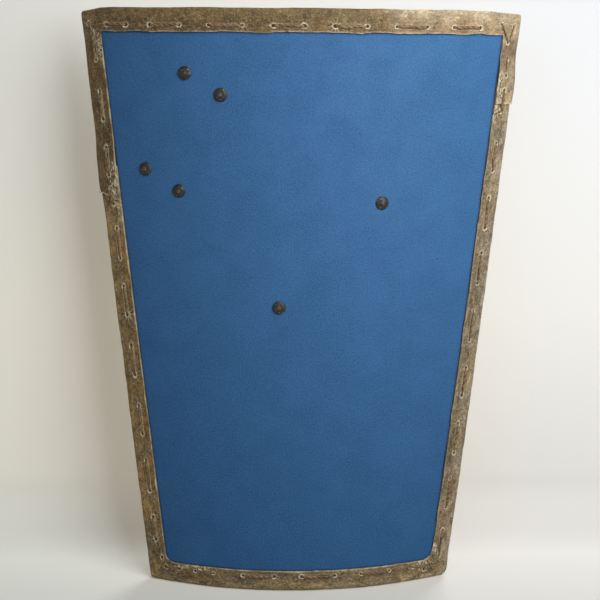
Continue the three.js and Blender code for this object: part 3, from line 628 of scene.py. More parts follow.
def rawhide(name, left, right, change=0.0, width=0.10, contrast=1.0, gold=0.75, speckle=1.0):
    """Dried hide: fibres along the strip over cloudy stains between two colours from left to right,
    grimy specks, and a pale raw colour where it is cut or strained."""
    made, tree, shader = material(name)
    where, along = place(tree), own_uv(tree)

    def wander(scale, reach):
        """Slow noise from minus to plus the reach."""
        return ramp(tree, noise(tree, where, scale, 3.0), 0.3, 0.7, -reach, reach)

    # the hide's own tone: it changes across the shield, and is golden in places
    across = plus(tree, axes(tree, where)["X"], wander(9.0, 0.06))
    base = mix_colours(tree, ramp(tree, across, change - width, change + width), left, right)
    stain = multiplied(tree, base, (0.40, 0.40, 0.40, 1))
    colour, patches = mottled(tree, where, base, stain, 24.0, 0.60 * contrast, 0.30)
    golden = ramp(tree, noise(tree, where, 17.0, 4.0, 0.6, 0.8), 0.42, 0.62, 0.0, gold)
    colour = tinted(tree, golden, colour, (1.36, 1.15, 0.74))
    # darker along the lacing and paler where hands rub it, with scuffs and grime
    inward = plus(tree, axes(tree, along)["Y"], wander(60.0, 0.005))
    stitched = multiplied(tree, colour, (0.80, 0.74, 0.66, 1))
    handled = multiplied(tree, colour, (1.12, 1.13, 1.12, 1))
    colour = mix_colours(tree, ramp(tree, inward, 0.013, 0.024), stitched, handled)
    blotches = noise(tree, stretched(tree, along, 48.0, 85.0, 1.0), 1.0, 5.0, 0.62, 0.9)
    scuffed = ramp(tree, blotches, 0.52, 0.60, 0.0, 0.85 * speckle)
    colour = tinted(tree, scuffed, colour, (1.45, 1.42, 1.36))
    grimy = ramp(tree, blotches, 0.49, 0.41, 0.0, 0.8 * speckle)
    colour = tinted(tree, grimy, colour, (0.56, 0.49, 0.40))
    # fibres, rust stains, pale flecks and dark grit
    fibres = noise(tree, stretched(tree, along, 150.0, 330.0, 1.0), 1.0, 5.0, 0.68, 1.1)
    colour = tinted(tree, ramp(tree, fibres, 0.52, 0.69, 0.0, 0.85), colour, (2.00, 1.94, 1.85))
    colour = tinted(tree, ramp(tree, fibres, 0.46, 0.32, 0.0, 0.9), colour, (0.36, 0.31, 0.25))
    rust = ramp(tree, noise(tree, where, 40.0, 5.0, 0.7, 1.0), 0.58, 0.74, 0.0, 0.7)
    colour = mix_colours(tree, rust, colour, (0.20, 0.085, 0.028, 1))
    flecks = ramp(tree, noise(tree, where, 360.0, 5.0, 0.75), 0.53, 0.65, 0.0, 0.76 * speckle)
    colour = mix_colours(tree, flecks, colour, (0.55, 0.455, 0.30, 1))
    grit = ramp(tree, noise(tree, where, 310.0, 6.0, 0.8), 0.52, 0.65, 0.0, 0.9 * speckle)
    colour = mix_colours(tree, grit, colour, (0.032, 0.022, 0.012, 1))
    # what the masks carry: soiled stretches, strained or cut raw hide with painted highlights on pucker
    # ridges, and painted shade in holes, pucker troughs, torn gaps and cut edges facing away from the
    # light
    colour = tinted(tree, own_mask(tree, "soiled"), colour, (0.55, 0.53, 0.53))
    broken = ramp(tree, noise(tree, where, 380.0, 4.0, 0.7), 0.34, 0.50, 0.25, 1.0)
    pale = times(tree, own_mask(tree, "pale"), broken)
    colour = mix_colours(tree, pale, colour, (0.80, 0.69, 0.47, 1))
    colour = mix_colours(tree, own_mask(tree, "dark"), colour, (0.016, 0.010, 0.006, 1))
    put(tree, shader, "Base Color", colour)
    put(tree, shader, "Roughness", ramp(tree, patches, 0.0, 1.0, 0.56, 0.74))
    height = plus(tree, skin_relief(tree, where, 420.0, 0.35), times(tree, fibres, 0.8))
    put(tree, shader, "Normal", bump(tree, height, 0.0011, 0.95))
    shader.inputs["Specular IOR Level"].default_value = 0.4
    return made


def thong_leather(name, light, dark, dusty):
    """Oiled thong twisted from a strip: painted shade along its spiral groove, streaky, and dusty on its
    high parts."""
    made, tree, shader = material(name)
    along = own_uv(tree)
    run = axes(tree, along)
    turns = plus(tree, times(tree, run["X"], -1 / TWIST_PITCH), times(tree, run["Y"], 2.0))
    # painted shade: darker along the spiral groove
    groove = math_node(tree, "COSINE", times(tree, turns, 2 * math.pi))
    streaks = noise(tree, stretched(tree, along, 260.0, 5.0, 1.0), 1.0, 4.0, 0.65)
    shade = plus(tree, streaks, times(tree, groove, -0.11))
    colour = mix_colours(tree, ramp(tree, shade, 0.36, 0.64), dark, light)
    dust = ramp(tree, noise(tree, place(tree), 430.0, 4.0, 0.7), 0.50, 0.70, 0.0, dusty)
    colour = mix_colours(tree, dust, colour, (0.42, 0.33, 0.21, 1))
    put(tree, shader, "Base Color", colour)
    put(tree, shader, "Roughness", ramp(tree, streaks, 0.3, 0.7, 0.5, 0.7))
    put(tree, shader, "Normal", bump(tree, streaks, 0.0006, 0.8))
    return made


def frayed_hide():
    """Raw torn hide: cream where it is fresh, brown where it is soiled."""
    made, tree, shader = material("frayed_hide")
    where = place(tree)
    soil = ramp(tree, noise(tree, where, 300.0, 3.0, 0.6), 0.40, 0.65)
    fresh = mix_colours(tree, soil, (0.82, 0.74, 0.56, 1), (0.48, 0.36, 0.20, 1))
    colour = mix_colours(tree, own_mask(tree, "pale"), (0.16, 0.095, 0.040, 1), fresh)
    colour = mix_colours(tree, own_mask(tree, "dark"), colour, (0.03, 0.018, 0.008, 1))
    put(tree, shader, "Base Color", colour)
    put(tree, shader, "Roughness", ramp(tree, soil, 0.0, 1.0, 0.55, 0.75))
    return made


def dark_iron(name, iron, rust, bright):
    """Hammered iron under thin oxide: bare and bright at worn spots, brown in the hollows."""
    made, tree, shader = material(name)
    where = place(tree)
    colour, patches = mottled(tree, where, iron, rust, 190.0, 0.8, 0.3)
    worn = ramp(tree, noise(tree, where, 310.0, 2.0), 0.60, 0.72, 0.0, bright)
    colour = mix_colours(tree, worn, colour, (0.34, 0.31, 0.27, 1))
    put(tree, shader, "Base Color", colour)
    put(tree, shader, "Metallic", ramp(tree, patches, 0.0, 1.0, 0.90, 0.30))
    put(tree, shader, "Roughness", ramp(tree, patches, 0.0, 1.0, 0.34, 0.62))
    dents = node(tree, "ShaderNodeTexVoronoi", Vector=where, Scale=330.0)
    dents.feature = "SMOOTH_F1"
    pits = noise(tree, where, 800.0, 3.0, 0.55)
    height = plus(tree, dents.outputs["Distance"], times(tree, pits, 0.35))
    put(tree, shader, "Normal", bump(tree, height, 0.0008, 0.8))
    return made


def strap_leather():
    """Tanned strap leather: fine pores, darker burnished edges and lighter rubbed patches."""
    made, tree, shader = material("strap_leather")
    where = place(tree)
    tanned, oiled = (0.135, 0.058, 0.024, 1), (0.062, 0.026, 0.012, 1)
    colour, patches = mottled(tree, where, tanned, oiled, 30.0, 0.6, 0.3)
    edge = times(tree, own_mask(tree, "edge"), 0.8)
    colour = mix_colours(tree, edge, colour, (0.028, 0.013, 0.007, 1))
    put(tree, shader, "Base Color", colour)
    put(tree, shader, "Roughness", ramp(tree, patches, 0.0, 1.0, 0.42, 0.6))
    height = skin_relief(tree, where, 900.0, 0.5)
    put(tree, shader, "Normal", bump(tree, height, 0.0003, 0.6))
    return made


def birch_wood():
    """Bare birch ply, cut round the log: the sine of a tall stretched noise draws wandering growth
    lines, over fine upright pores, a soft flamed figure and handling dirt."""
    made, tree, shader = material("birch_wood")
    where = place(tree)
    field = noise(tree, stretched(tree, where, 5.5, 5.5, 0.75), 1.0, 2.0, 0.45, 0.5)
    field = plus(tree, field, times(tree, noise(tree, where, 30.0, 3.0), 0.02))
    growth = math_node(tree, "SINE", times(tree, field, 115.0))
    flame = noise(tree, stretched(tree, where, 10.0, 10.0, 26.0), 1.0, 3.0, 0.5, 0.8)
    grain = noise(tree, stretched(tree, where, 950.0, 950.0, 16.0), 1.0, 5.0, 0.7)
    share = times(tree, ramp(tree, growth, 0.1, 1.0), ramp(tree, field, 0.35, 0.6, 0.10, 0.34))
    share = plus(tree, share, ramp(tree, grain, 0.35, 0.7, 0.0, 0.38))
    share = plus(tree, share, ramp(tree, flame, 0.35, 0.7, 0.0, 0.14))
    colour = mix_colours(tree, share, (0.66, 0.49, 0.30, 1), (0.42, 0.265, 0.135, 1))
    colour = mix_colours(tree, ramp(tree, field, 0.38, 0.62, 0.0, 0.35), colour, (0.50, 0.335, 0.18, 1))
    pores = noise(tree, stretched(tree, where, 1300.0, 1300.0, 110.0), 1.0, 2.0, 0.5)
    pores = ramp(tree, pores, 0.62, 0.74, 0.0, 0.55)
    colour = mix_colours(tree, pores, colour, (0.22, 0.135, 0.065, 1))
    dirt = ramp(tree, noise(tree, where, 5.0, 6.0, 0.65), 0.50, 0.75, 0.0, 0.40)
    colour = mix_colours(tree, dirt, colour, (0.24, 0.165, 0.10, 1))
    put(tree, shader, "Base Color", colour)
    put(tree, shader, "Roughness", ramp(tree, grain, 0.3, 0.7, 0.55, 0.72))
    put(tree, shader, "Normal", bump(tree, grain, 0.0002, 0.5))
    return made


def linen_thread():
    """Waxed linen thread, lighter and darker by strand."""
    made, tree, shader = material("linen_thread")
    strands = noise(tree, place(tree), 2500.0, 2.0)
    colour = mix_colours(tree, strands, (0.62, 0.52, 0.36, 1), (0.38, 0.29, 0.18, 1))
    put(tree, shader, "Base Color", colour)
    shader.inputs["Roughness"].default_value = 0.7
    return made


def backdrop_paper(name, shade):
    """Pale paper that is clear from behind, that lets light through to the object's back, and that
    turns into the world's pale tone away from the object. The camera and mirrored or refracted rays
    see its pale colour, with painted light and shade in it; to the rest it is dark grey."""
    made, tree, shader = material(name)
    where = place(tree)
    at = axes(tree, where)
    # painted light: the floor darker towards the front, the wall paler than the floor and darker and
    # bluer towards the top
    near = ramp(tree, at["Y"], -0.14, 0.06)
    floor = mix_colours(tree, near, (0.545, 0.545, 0.53, 1), (0.70, 0.70, 0.68, 1))
    up = ramp(tree, at["Z"], 0.0, 0.11)
    paper = mix_colours(tree, up, floor, (0.85, 0.85, 0.83, 1))
    high = ramp(tree, at["Z"], 0.38, 0.90)
    paper = mix_colours(tree, high, paper, (0.64, 0.665, 0.705, 1))
    # painted light from side to side: brighter and warmer to the left, darker and cooler to the right
    side = ramp(tree, at["X"], -0.42, 0.42)
    wall_side_light = mix_colours(tree, side, (1.11, 1.11, 1.06, 1), (0.91, 0.925, 0.965, 1))
    floor_side_light = mix_colours(tree, side, (0.92, 0.97, 0.99, 1), (0.92, 0.93, 0.97, 1))
    paper = multiplied(tree, paper, mix_colours(tree, up, floor_side_light, wall_side_light))
    # the shade scales the painted brightness, for paper that gets less light
    paper = multiplied(tree, paper, (shade, shade, shade, 1))
    length = tree.nodes.new("ShaderNodeVectorMath")
    length.operation = "LENGTH"
    tree.links.new(where, length.inputs[0])
    away = ramp(tree, length.outputs["Value"], 1.1, 2.6)
    paper = mix_colours(tree, away, paper, (0, 0, 0, 1))
    ray = tree.nodes.new("ShaderNodeLightPath").outputs
    seen = either(tree, ray["Is Camera Ray"], ray["Is Glossy Ray"])
    seen = either(tree, seen, ray["Is Transmission Ray"])
    put(tree, shader, "Base Color", mix_colours(tree, seen, (0.28, 0.28, 0.27, 1), paper))
    shader.inputs["Roughness"].default_value = 0.9
    put(tree, shader, "Specular IOR Level", ramp(tree, away, 0.0, 1.0, 0.2, 0.0))
    # a painted glow seen by the camera lifts the shadows near the object and turns to the world's pale
    # tone far away
    painted_fill_glow = mix_colours(tree, away, (0.145, 0.133, 0.100, 1), (0.800, 0.792, 0.780, 1))
    put(tree, shader, "Emission Color", mix_colours(tree, seen, (0, 0, 0, 1), painted_fill_glow))
    shader.inputs["Emission Strength"].default_value = 1.0
    behind = tree.nodes.new("ShaderNodeNewGeometry").outputs["Backfacing"]
    clear = either(tree, times(tree, behind, ray["Is Camera Ray"]), ray["Is Shadow Ray"])
    mix = tree.nodes.new("ShaderNodeMixShader")
    put(tree, mix, 0, clear)
    put(tree, mix, 1, shader.outputs[0])
    put(tree, mix, 2, tree.nodes.new("ShaderNodeBsdfTransparent").outputs[0])
    tree.links.new(mix.outputs[0], tree.nodes["Material Output"].inputs[0])
    return made


CANVAS_BLUE = painted_canvas()
HIDE_TOP = rawhide(
    "rawhide_top",
    (0.182, 0.126, 0.050, 1),
    (0.470, 0.382, 0.262, 1),
    change=0.095,
    width=0.035,
    contrast=1.2,
    gold=0.30,
    speckle=0.6,
)
HIDE_LEFT = rawhide("rawhide_left", (0.275, 0.195, 0.084, 1), (0.275, 0.195, 0.084, 1))
HIDE_RIGHT = rawhide("rawhide_right", (0.30, 0.255, 0.185, 1), (0.30, 0.255, 0.185, 1), gold=0.35)
HIDE_BOTTOM = rawhide("rawhide_bottom", (0.22, 0.170, 0.088, 1), (0.28, 0.225, 0.140, 1), gold=0.5)
HIDE_FRAY = frayed_hide()
THONG = thong_leather("thong_leather", (0.270, 0.160, 0.070, 1), (0.055, 0.030, 0.013, 1), 0.55)
THONG_END = thong_leather("thong_ends", (0.30, 0.205, 0.105, 1), (0.060, 0.035, 0.016, 1), 0.8)
IRON = dark_iron("dark_iron", (0.046, 0.050, 0.056, 1), (0.040, 0.032, 0.024, 1), 0.5)
IRON_HEAD = dark_iron("rubbed_iron", (0.085, 0.072, 0.058, 1), (0.090, 0.052, 0.028, 1), 0.6)
HARNESS = strap_leather()
BIRCH = birch_wood()
THREAD = linen_thread()


# Flat pattern of the rim

CORNERS = {
    "top_left": np.array([-TOP_WIDTH / 2, HEIGHT]),
    "bottom_left": np.array([-BOTTOM_WIDTH / 2, 0.0]),
    "bottom_right": np.array([BOTTOM_WIDTH / 2, 0.0]),
    "top_right": np.array([TOP_WIDTH / 2, HEIGHT]),
}
WALK = ["top_left", "bottom_left", "bottom_right", "top_right"]


class Edge:
    """One edge of the outline, walked from one corner to the next with the shield on the left."""

    def __init__(self, start, end):
        self.start, self.end = CORNERS[start], CORNERS[end]
        self.length = np.linalg.norm(self.end - self.start)
        self.along = (self.end - self.start) / self.length
        self.inward = np.array([-self.along[1], self.along[0]])
        self.slopes = (corner_slope(start), corner_slope(end))
        self.fillets = (INNER_FILLET[start], INNER_FILLET[end])

    def point(self, distance, inset):
        """A flat point at a distance along the edge and inset from it; near a corner the inset lines
        lean along the edge, by the corner's slope at the corner and by nothing a set way from it."""
        distance, inset = np.broadcast_arrays(distance, inset)
        lean_start = self.slopes[0] * np.clip(1 - distance / CORNER_SHEAR, 0, 1)
        lean_end = self.slopes[1] * np.clip(1 - (self.length - distance) / CORNER_SHEAR, 0, 1)
        run = distance + inset * (lean_start - lean_end)
        return self.start + run[..., None] * self.along + inset[..., None] * self.inward

    def at(self, shares):
        """The distances along the edge that shares of its length give."""
        return [share * self.length for share in shares]


def corner_slope(name):
    """How far the mitre line moves along an edge for each unit inwards: one over the tangent of half
    the corner's angle."""
    i = WALK.index(name)
    before, here, after = CORNERS[WALK[i - 1]], CORNERS[name], CORNERS[WALK[(i + 1) % 4]]
    a = (before - here) / np.linalg.norm(before - here)
    b = (after - here) / np.linalg.norm(after - here)
    return 1 / math.tan(math.acos(a @ b) / 2)


LEFT = Edge("top_left", "bottom_left")
BOTTOM = Edge("bottom_left", "bottom_right")
RIGHT = Edge("bottom_right", "top_right")
TOP = Edge("top_right", "top_left")
# Painted shade on the cut edges that face away from the light: how pale their front cut edge is,
# where it isn't fully so, and one minus it darkens their lining.
SHADED_CUT_EDGES = {RIGHT: 0.3, TOP: 0.5}


def round_corners(flat):
    """Rounds the outline's corners: near one, in a frame along both edges, the square with its centre a
    rounding in from the corner is drawn onto the disc inside it, along lines from that centre. The worn
    top corners then sink by a smooth step across and up."""
    for i, name in enumerate(WALK):
        here = CORNERS[name]
        rounding = CORNER_ROUNDING[name]
        a = CORNERS[WALK[i - 1]] - here
        b = CORNERS[WALK[(i + 1) % 4]] - here
        basis = np.stack([a / np.linalg.norm(a), b / np.linalg.norm(b)], 1)
        local = (flat - here) @ np.linalg.inv(basis).T - rounding
        near = (local < 0).all(-1)
        reach = np.hypot(local[..., 0], local[..., 1]) + 1e-12
        shrink = np.where(near, np.abs(local).max(-1) / reach, 1.0)
        moved = here + (local * shrink[..., None] + rounding) @ basis.T
        flat = np.where(near[..., None], moved, flat)
    u, v = flat[..., 0], flat[..., 1]
    side = TOP_WIDTH / 2
    sink = WORN_LEFT * (1 - smoothstep(u, -side, WORN_LEFT_RUN - side))
    sink = sink + WORN_RIGHT * smoothstep(u, side - WORN_RIGHT_RUN, side)
    return np.stack([u, v - sink * smoothstep(v, HEIGHT - WORN_HEIGHT, HEIGHT)], -1)


def lace_holes(edge, inset, shares):
    """The flat points of one edge's lace holes."""
    return [edge.start + edge.along * share * edge.length + edge.inward * inset for share in shares]


HOLES = {
    "left": lace_holes(LEFT, SIDE_INSET, LEFT_SHARES),
    "bottom": lace_holes(BOTTOM, END_INSET, BOTTOM_SHARES),
    "right": lace_holes(RIGHT, SIDE_INSET, RIGHT_SHARES),
    "top": lace_holes(TOP, END_INSET, TOP_SHARES),
}
HOLES_IN_LEFT_LEG = 8
HOLES_IN_RIGHT_LEG = 6
# Where the left strip's holes are along it, with the two of the lower left corner.
LEFT_HOLES_AT = LEFT.at(LEFT_SHARES) + [LEFT.length - 0.040, LEFT.length - 0.022]
# Stitches that close the corners, as pairs of flat points.
CORNER_STITCHES = [
    (np.array([0.2925, 0.8325]), np.array([0.3048, 0.8068])),
    (np.array([0.3158, 0.8305]), np.array([0.3052, 0.8066])),
    (np.array([-0.2169, 0.0201]), np.array([-0.2075, 0.0315])),
    (np.array([-0.3152, 0.8279]), np.array([-0.3060, 0.8120])),
]
LOWEST_HOLE = np.array([-0.2140, 0.0388])
# Strands of the knot that ends the lacing at the lower right corner.
KNOT_STRANDS = [
    (np.array([0.1735, 0.0261]), np.array([0.2167, 0.0283])),
    (np.array([0.1943, 0.0175]), np.array([0.2242, 0.0217])),
    (np.array([0.2007, 0.0313]), np.array([0.2101, 0.0145])),
    (np.array([0.1871, 0.0238]), np.array([0.2050, 0.0125])),
    (np.array([0.2217, 0.0373]), np.array([0.2075, 0.0215])),
]


# Rim


def rim_profile():
    """Outer skin of the folded strip, from the front cut edge round the shield's edge to the back cut
    edge: arrays of inset, depth and outward normal, with close points where the lace holes are."""
    cut = [RIM_WIDTH, RIM_WIDTH - 0.0004, RIM_WIDTH - 0.0013]
    laced = np.arange(0.0300, 0.0146, -0.0006)
    front = np.concatenate([cut, laced, [0.0130, 0.0110, 0.0090, 0.0072, 0.0055]])
    laced = np.arange(0.0155, 0.0280, 0.0011)
    back = np.concatenate([[0.0060, 0.0090, 0.0125], laced, [0.0292, RIM_BACK_WIDTH]])
    turn = np.linspace(0, np.pi / 2, 6)
    inset = [front, RIM_ROUNDING * (1 - np.sin(turn)), RIM_ROUNDING * (1 - np.cos(turn)), back]
    depth = [
        0 * front + RIM_FRONT,
        RIM_FRONT + RIM_ROUNDING * (1 - np.cos(turn)),
        RIM_BACK - RIM_ROUNDING * (1 - np.sin(turn)),
        0 * back + RIM_BACK,
    ]
    normal_in = [0 * front, -np.sin(turn), -np.cos(turn), 0 * back]
    normal_deep = [0 * front - 1, -np.cos(turn), np.sin(turn), 0 * back + 1]
    return tuple(np.concatenate(part) for part in (inset, depth, normal_in, normal_deep))


def rim_lining():
    """Inner skin of the strip, from the back cut edge to the front one: arrays of inset and depth."""
    back, front = RIM_BACK - RAWHIDE, RIM_FRONT + RAWHIDE
    inset = [RIM_BACK_WIDTH - 0.0002, 0.016, RAWHIDE, RAWHIDE, 0.016, RIM_WIDTH - 0.0002]
    return np.array(inset), np.array([back, back, back, front, front, front])


def stations(start, end, holes_at):
    """Distances from start to end, 3 mm apart, and 0.6 mm apart within 5 mm of a lace hole."""
    way = 1 if end > start else -1
    coarse = np.linspace(start, end, int(abs(end - start) / STATION_STEP) + 2)
    fine = [h + np.arange(-CLOSE_REACH, CLOSE_REACH + 0.0001, CLOSE_STEP) for h in holes_at]
    together = np.concatenate([coarse, *fine])
    together = np.unique(np.clip(together, min(start, end), max(start, end)).round(5))
    keep = np.concatenate([[True], np.diff(together) > CLOSE_STEP / 2])
    keep[-1] = True
    return together[keep][::way]


def hole_marks(flat, edge_along, holes, stretch):
    """For each flat point the relief, pale ring, painted shade at the centre and pucker that the lace
    holes give it: with r the distance to a hole, shortened along the edge, a raised ring falls off round
    r = 3.2 mm and a pit sinks inside 2.6 mm. Puckers run out from the hole as the cosine of nine times
    the angle, bent by noise and fading by 7 mm."""
    relief = np.zeros(flat.shape[:-1])
    pale, dark, pucker = relief.copy(), relief.copy(), relief.copy()
    across = np.array([-edge_along[1], edge_along[0]])
    for i, hole in enumerate(holes):
        away = flat - hole
        size = 1 + 0.18 * math.sin(7.3 * i + 2)
        r = np.hypot((away @ edge_along) / stretch, away @ across) / size
        relief += 0.0006 * np.exp(-(((r - 0.0032) / 0.0012) ** 2))
        relief -= 0.0018 * (1 - smoothstep(r, 0.0009, 0.0026))
        broken = 0.72 + 0.60 * smooth_noise(away[..., 0] + i, away[..., 1], 0.0021, 33)
        pale = np.maximum(pale, broken * np.exp(-(((r - 0.0029) / 0.0009) ** 4)))
        # painted shade: the hole's centre is darkened
        dark = np.maximum(dark, 1 - smoothstep(r, 0.0012, 0.0024))
        turn = np.arctan2(away @ across, away @ edge_along)
        rays = np.cos(9 * turn + i + 2.5 * smooth_noise(away[..., 0], away[..., 1] + i, 0.005, 34))
        rays = rays * smoothstep(r, 0.0022, 0.0036) * np.exp(-((r / 0.0072) ** 2))
        pucker += rays * (0.7 + 0.5 * math.sin(4.1 * i))
    return relief + 0.00028 * pucker, pale, dark, pucker


def stitch_lips(flat, stitches):
    """The two raised lips that a tight stitch presses up beside it: with r the distance to the stitch's
    line, a ridge falls off round r = 2.7 mm, and the hide sinks under the thong itself."""
    relief = np.zeros(flat.shape[:-1])
    lips = relief.copy()
    for a, b, strength in stitches:
        line = b - a
        share = np.clip((flat - a) @ line / (line @ line), 0, 1)
        r = np.linalg.norm(flat - a - share[..., None] * line, axis=-1)
        ridge = np.exp(-(((r - 0.0027) / 0.0008) ** 2))
        relief += strength * (0.0004 * ridge - 0.0005 * np.exp(-((r / 0.0016) ** 2)))
        lips = np.maximum(lips, strength * ridge)
    return relief, lips


def cut_wander(edge, s, q):
    """How far the cut edge strays inwards: slow noise, and at the inner corners 0.32 of the fillet
    times the square of the nearness to the corner. It grows from nothing over the strip's inner
    third."""
    wander = 0.0011 * smooth_noise(s, 0, 0.026, 11) + 0.0004 * smooth_noise(s, 0, 0.006, 12)
    wander *= smoothstep(np.minimum(s, edge.length - s), 0.0, 0.02)
    near_start = np.clip(1 - s / FILLET_RUN, 0, 1) ** 2
    near_end = np.clip(1 - (edge.length - s) / FILLET_RUN, 0, 1) ** 2
    fillet = 0.32 * (edge.fillets[0] * near_start + edge.fillets[1] * near_end)
    return (wander + fillet) * smoothstep(q, 0.022, RIM_WIDTH)


def hide_swell(flat):
    """The slow unevenness of dried hide, from three sizes of noise."""
    swell = 0.00035 * noise_over(flat, 0.017, 21)
    swell += 0.00020 * noise_over(flat, 0.0055, 22)
    return swell + 0.0004 * noise_over(flat, 0.045, 23)


def worn_spots(edge, s, q, fray):
    """How torn the hide is about its worn spots, each (edge, distance, reach): along the edge it is e
    to the power of minus r, where r is the fourth power of the distance over the reach, and it grows
    towards the cut edge."""
    worn = 0 * s * q
    for where, at, reach in fray:
        if where is edge:
            worn = np.maximum(worn, np.exp(-(((s - at) / reach) ** 4)))
    return worn * smoothstep(q, 0.0215, 0.0285)


def grime(edge, s):
    """The dirt on the right leg of the top strip: it rises below the corner and thins out further
    down."""
    below = edge.length - s
    return smoothstep(below, 0.024, 0.040) * (1 - 0.7 * smoothstep(below, 0.075, 0.105))


def off_board(lift, depth):
    """The lift off the board: forwards for what lies in front of its middle, backwards for the rest."""
    return lift[:, None] * np.where(depth < MIDDLE_DEPTH, -1.0, 1.0)


def strip_points(runs, holes, stitches, stretch, fray, slants):
    """Points, masks and running lengths of a rim strip. Each run is (edge, distances, lift at each
    distance). The skin is the profile carried along the edge; it stands off by slow noise and puckers
    at the holes, and its front cut edge wanders and rounds the inner corners. The lining follows the
    same stations."""
    inset, depth, normal_in, normal_deep = rim_profile()
    lining_in, lining_deep = rim_lining()
    is_front = depth < RIM_FRONT + 1e-6
    is_back = depth > RIM_BACK - 1e-6
    round_edge = normal_in < -0.02
    skin_run = np.concatenate([[0], np.cumsum(np.hypot(np.diff(inset), np.diff(depth)))])
    edge_line = np.zeros(len(inset))
    edge_line[:3] = 1, 1, 0.35
    shells, pales, darks, soils, uvs = [], [], [], [], []
    before = 0.0
    for turn, (edge, distance, lift) in enumerate(runs):
        s, q = distance[:, None] + 0 * inset[None, :], inset[None, :]
        lining_q = lining_in[None, :] + 0 * distance[:, None]
        lining_s = distance[:, None] + 0 * lining_q
        for at, end, slant in ((0, distance[0], slants[0]), (len(runs) - 1, distance[-1], slants[1])):
            if turn == at and slant:
                s = s + ragged_end(s, q, end, slant)
                lining_s = lining_s + ragged_end(lining_s, lining_q, end, slant)
        q = q + cut_wander(edge, s, q) * is_front
        flat = edge.point(s, q)

        # how far the skin stands off: holes, lips beside stitches, torn spots and the cut edge's curl
        relief, pale, dark, pucker = hole_marks(flat, edge.along, holes, stretch)
        # painted highlight on the pucker ridges and painted shade in their troughs
        pale = np.maximum(pale, 0.75 * pucker.clip(0, 1) * (stretch - 0.75))
        dark = np.maximum(dark, 0.65 * (-pucker).clip(0, 1) * (stretch - 0.75))
        lip_relief, lips = stitch_lips(flat, stitches)
        relief = np.where(is_front, relief + lip_relief, np.where(is_back, 0.6 * relief, 0))
        worn = is_front * worn_spots(edge, s, q, fray)
        torn = worn * noise_over(flat, 0.0022, 25)
        curl = 0.0003 * smoothstep(q, 0.0295, RIM_WIDTH) * is_front
        curl = curl * (1 + smooth_noise(s, 0, 0.012, 24))
        off = hide_swell(flat) + relief + curl + 0.0008 * torn - 0.0006 * np.abs(normal_in)

        # the skin and its lining, lifted where they lap over the strip below, and bent
        out = lift[:, None] * round_edge
        skin_in = q + normal_in * off - out * np.abs(normal_in)
        skin_deep = depth[None, :] + normal_deep * off + off_board(lift, depth)
        skin = on_shield(*np.moveaxis(round_corners(edge.point(s, skin_in)), -1, 0), skin_deep)
        lining = round_corners(edge.point(lining_s, lining_q))
        lining_deeper = lining_deep[None, :] + off_board(lift, lining_deep)
        lining = on_shield(*np.moveaxis(lining, -1, 0), lining_deeper)
        shells.append(np.concatenate([skin, lining], 1))

        # the masks: raw pale hide with painted highlights on pucker ridges, painted shade in holes,
        # pucker troughs and torn gaps, and dirt, with none on the lining but the painted shade of cut
        # edges facing away from the light
        pale = np.where(is_front | is_back, pale, 0)
        pale = np.maximum(pale, np.where(is_front, 0.6 * lips, 0))
        # painted shade: cut edges that face away from the light stay less pale and darken their lining
        fresh = SHADED_CUT_EDGES.get(edge, 1.0)
        cut = fresh * edge_line * (0.65 + 0.45 * smooth_noise(s, 0, 0.007, 31))
        scraps = worn * (0.5 + 0.9 * noise_over(flat, 0.0030, 26))
        pale = np.clip(np.maximum(np.maximum(pale, cut), scraps), 0, 1)
        dark = np.where(is_front | is_back, dark, 0)
        # painted shade in the gaps of the torn hide
        pits = worn * (2 * noise_over(flat, 0.0026, 27) - 0.5)
        dark = np.clip(np.maximum(dark, pits), 0, 1)
        pad = np.zeros((len(s), len(lining_in)))
        pales.append(np.concatenate([pale, pad], 1))
        darks.append(np.concatenate([dark, pad + (1 - fresh)], 1))
        soil = grime(edge, s) if edge is RIGHT and len(runs) > 1 else 0 * s
        soils.append(np.concatenate([soil, pad], 1))

        # running lengths along and across the strip, for the fibres
        along = s + before
        uv = np.stack([along, np.broadcast_to(skin_run, along.shape)], -1)
        uvs.append(np.concatenate([uv, uv[:, -len(lining_in):]], 1))
        before += edge.length
    return tuple(np.concatenate(part) for part in (shells, pales, darks, soils, uvs))


def ragged_end(s, q, end, slant):
    """Shifts the last 12 mm of a strip so that its cut end slants across the strip and is torn by
    noise."""
    near = np.clip(1 - np.abs(s - end) / 0.012, 0, 1)
    return near * (slant * (q / RIM_WIDTH - 0.45) + 0.0011 * smooth_noise(q, 0.3, 0.0024, 28))


def rim_strip(name, runs, holes, skin, stitches, stretch, fray, slants=(0, 0), end_pale=0):
    """A folded rawhide strip as a closed piece: the profile ring carried along its stations, both ends
    filled. The stretch draws the marks round its holes out along the edge."""
    points, pale, dark, soiled, uv = strip_points(runs, holes, stitches, stretch, fray, slants)
    pale[[0, -1]] = np.maximum(pale[[0, -1]], end_pale)
    masks = {"pale": pale, "dark": dark, "soiled": soiled}
    faces = capped_quads(*points.shape[:2])
    piece = new_piece(name + "_hide", points, faces, masks=masks, uv=uv, crease=45)
    dress(piece, "shield", "rawhide", skin, name)


def lap_lift(distance, leg, lap):
    """The rise over the strip below: none before it swells, the full lift along the lap."""
    return LAP_LIFT * smoothstep(distance, leg - lap - LAP_SWELL, leg - lap - 0.002)


def front_stitches(holes, strength):
    """Pairs of holes with a stitch in front between them, each with the strength of its lips."""
    return [(a, b, strength) for a, b in zip(holes[::2], holes[1::2])]


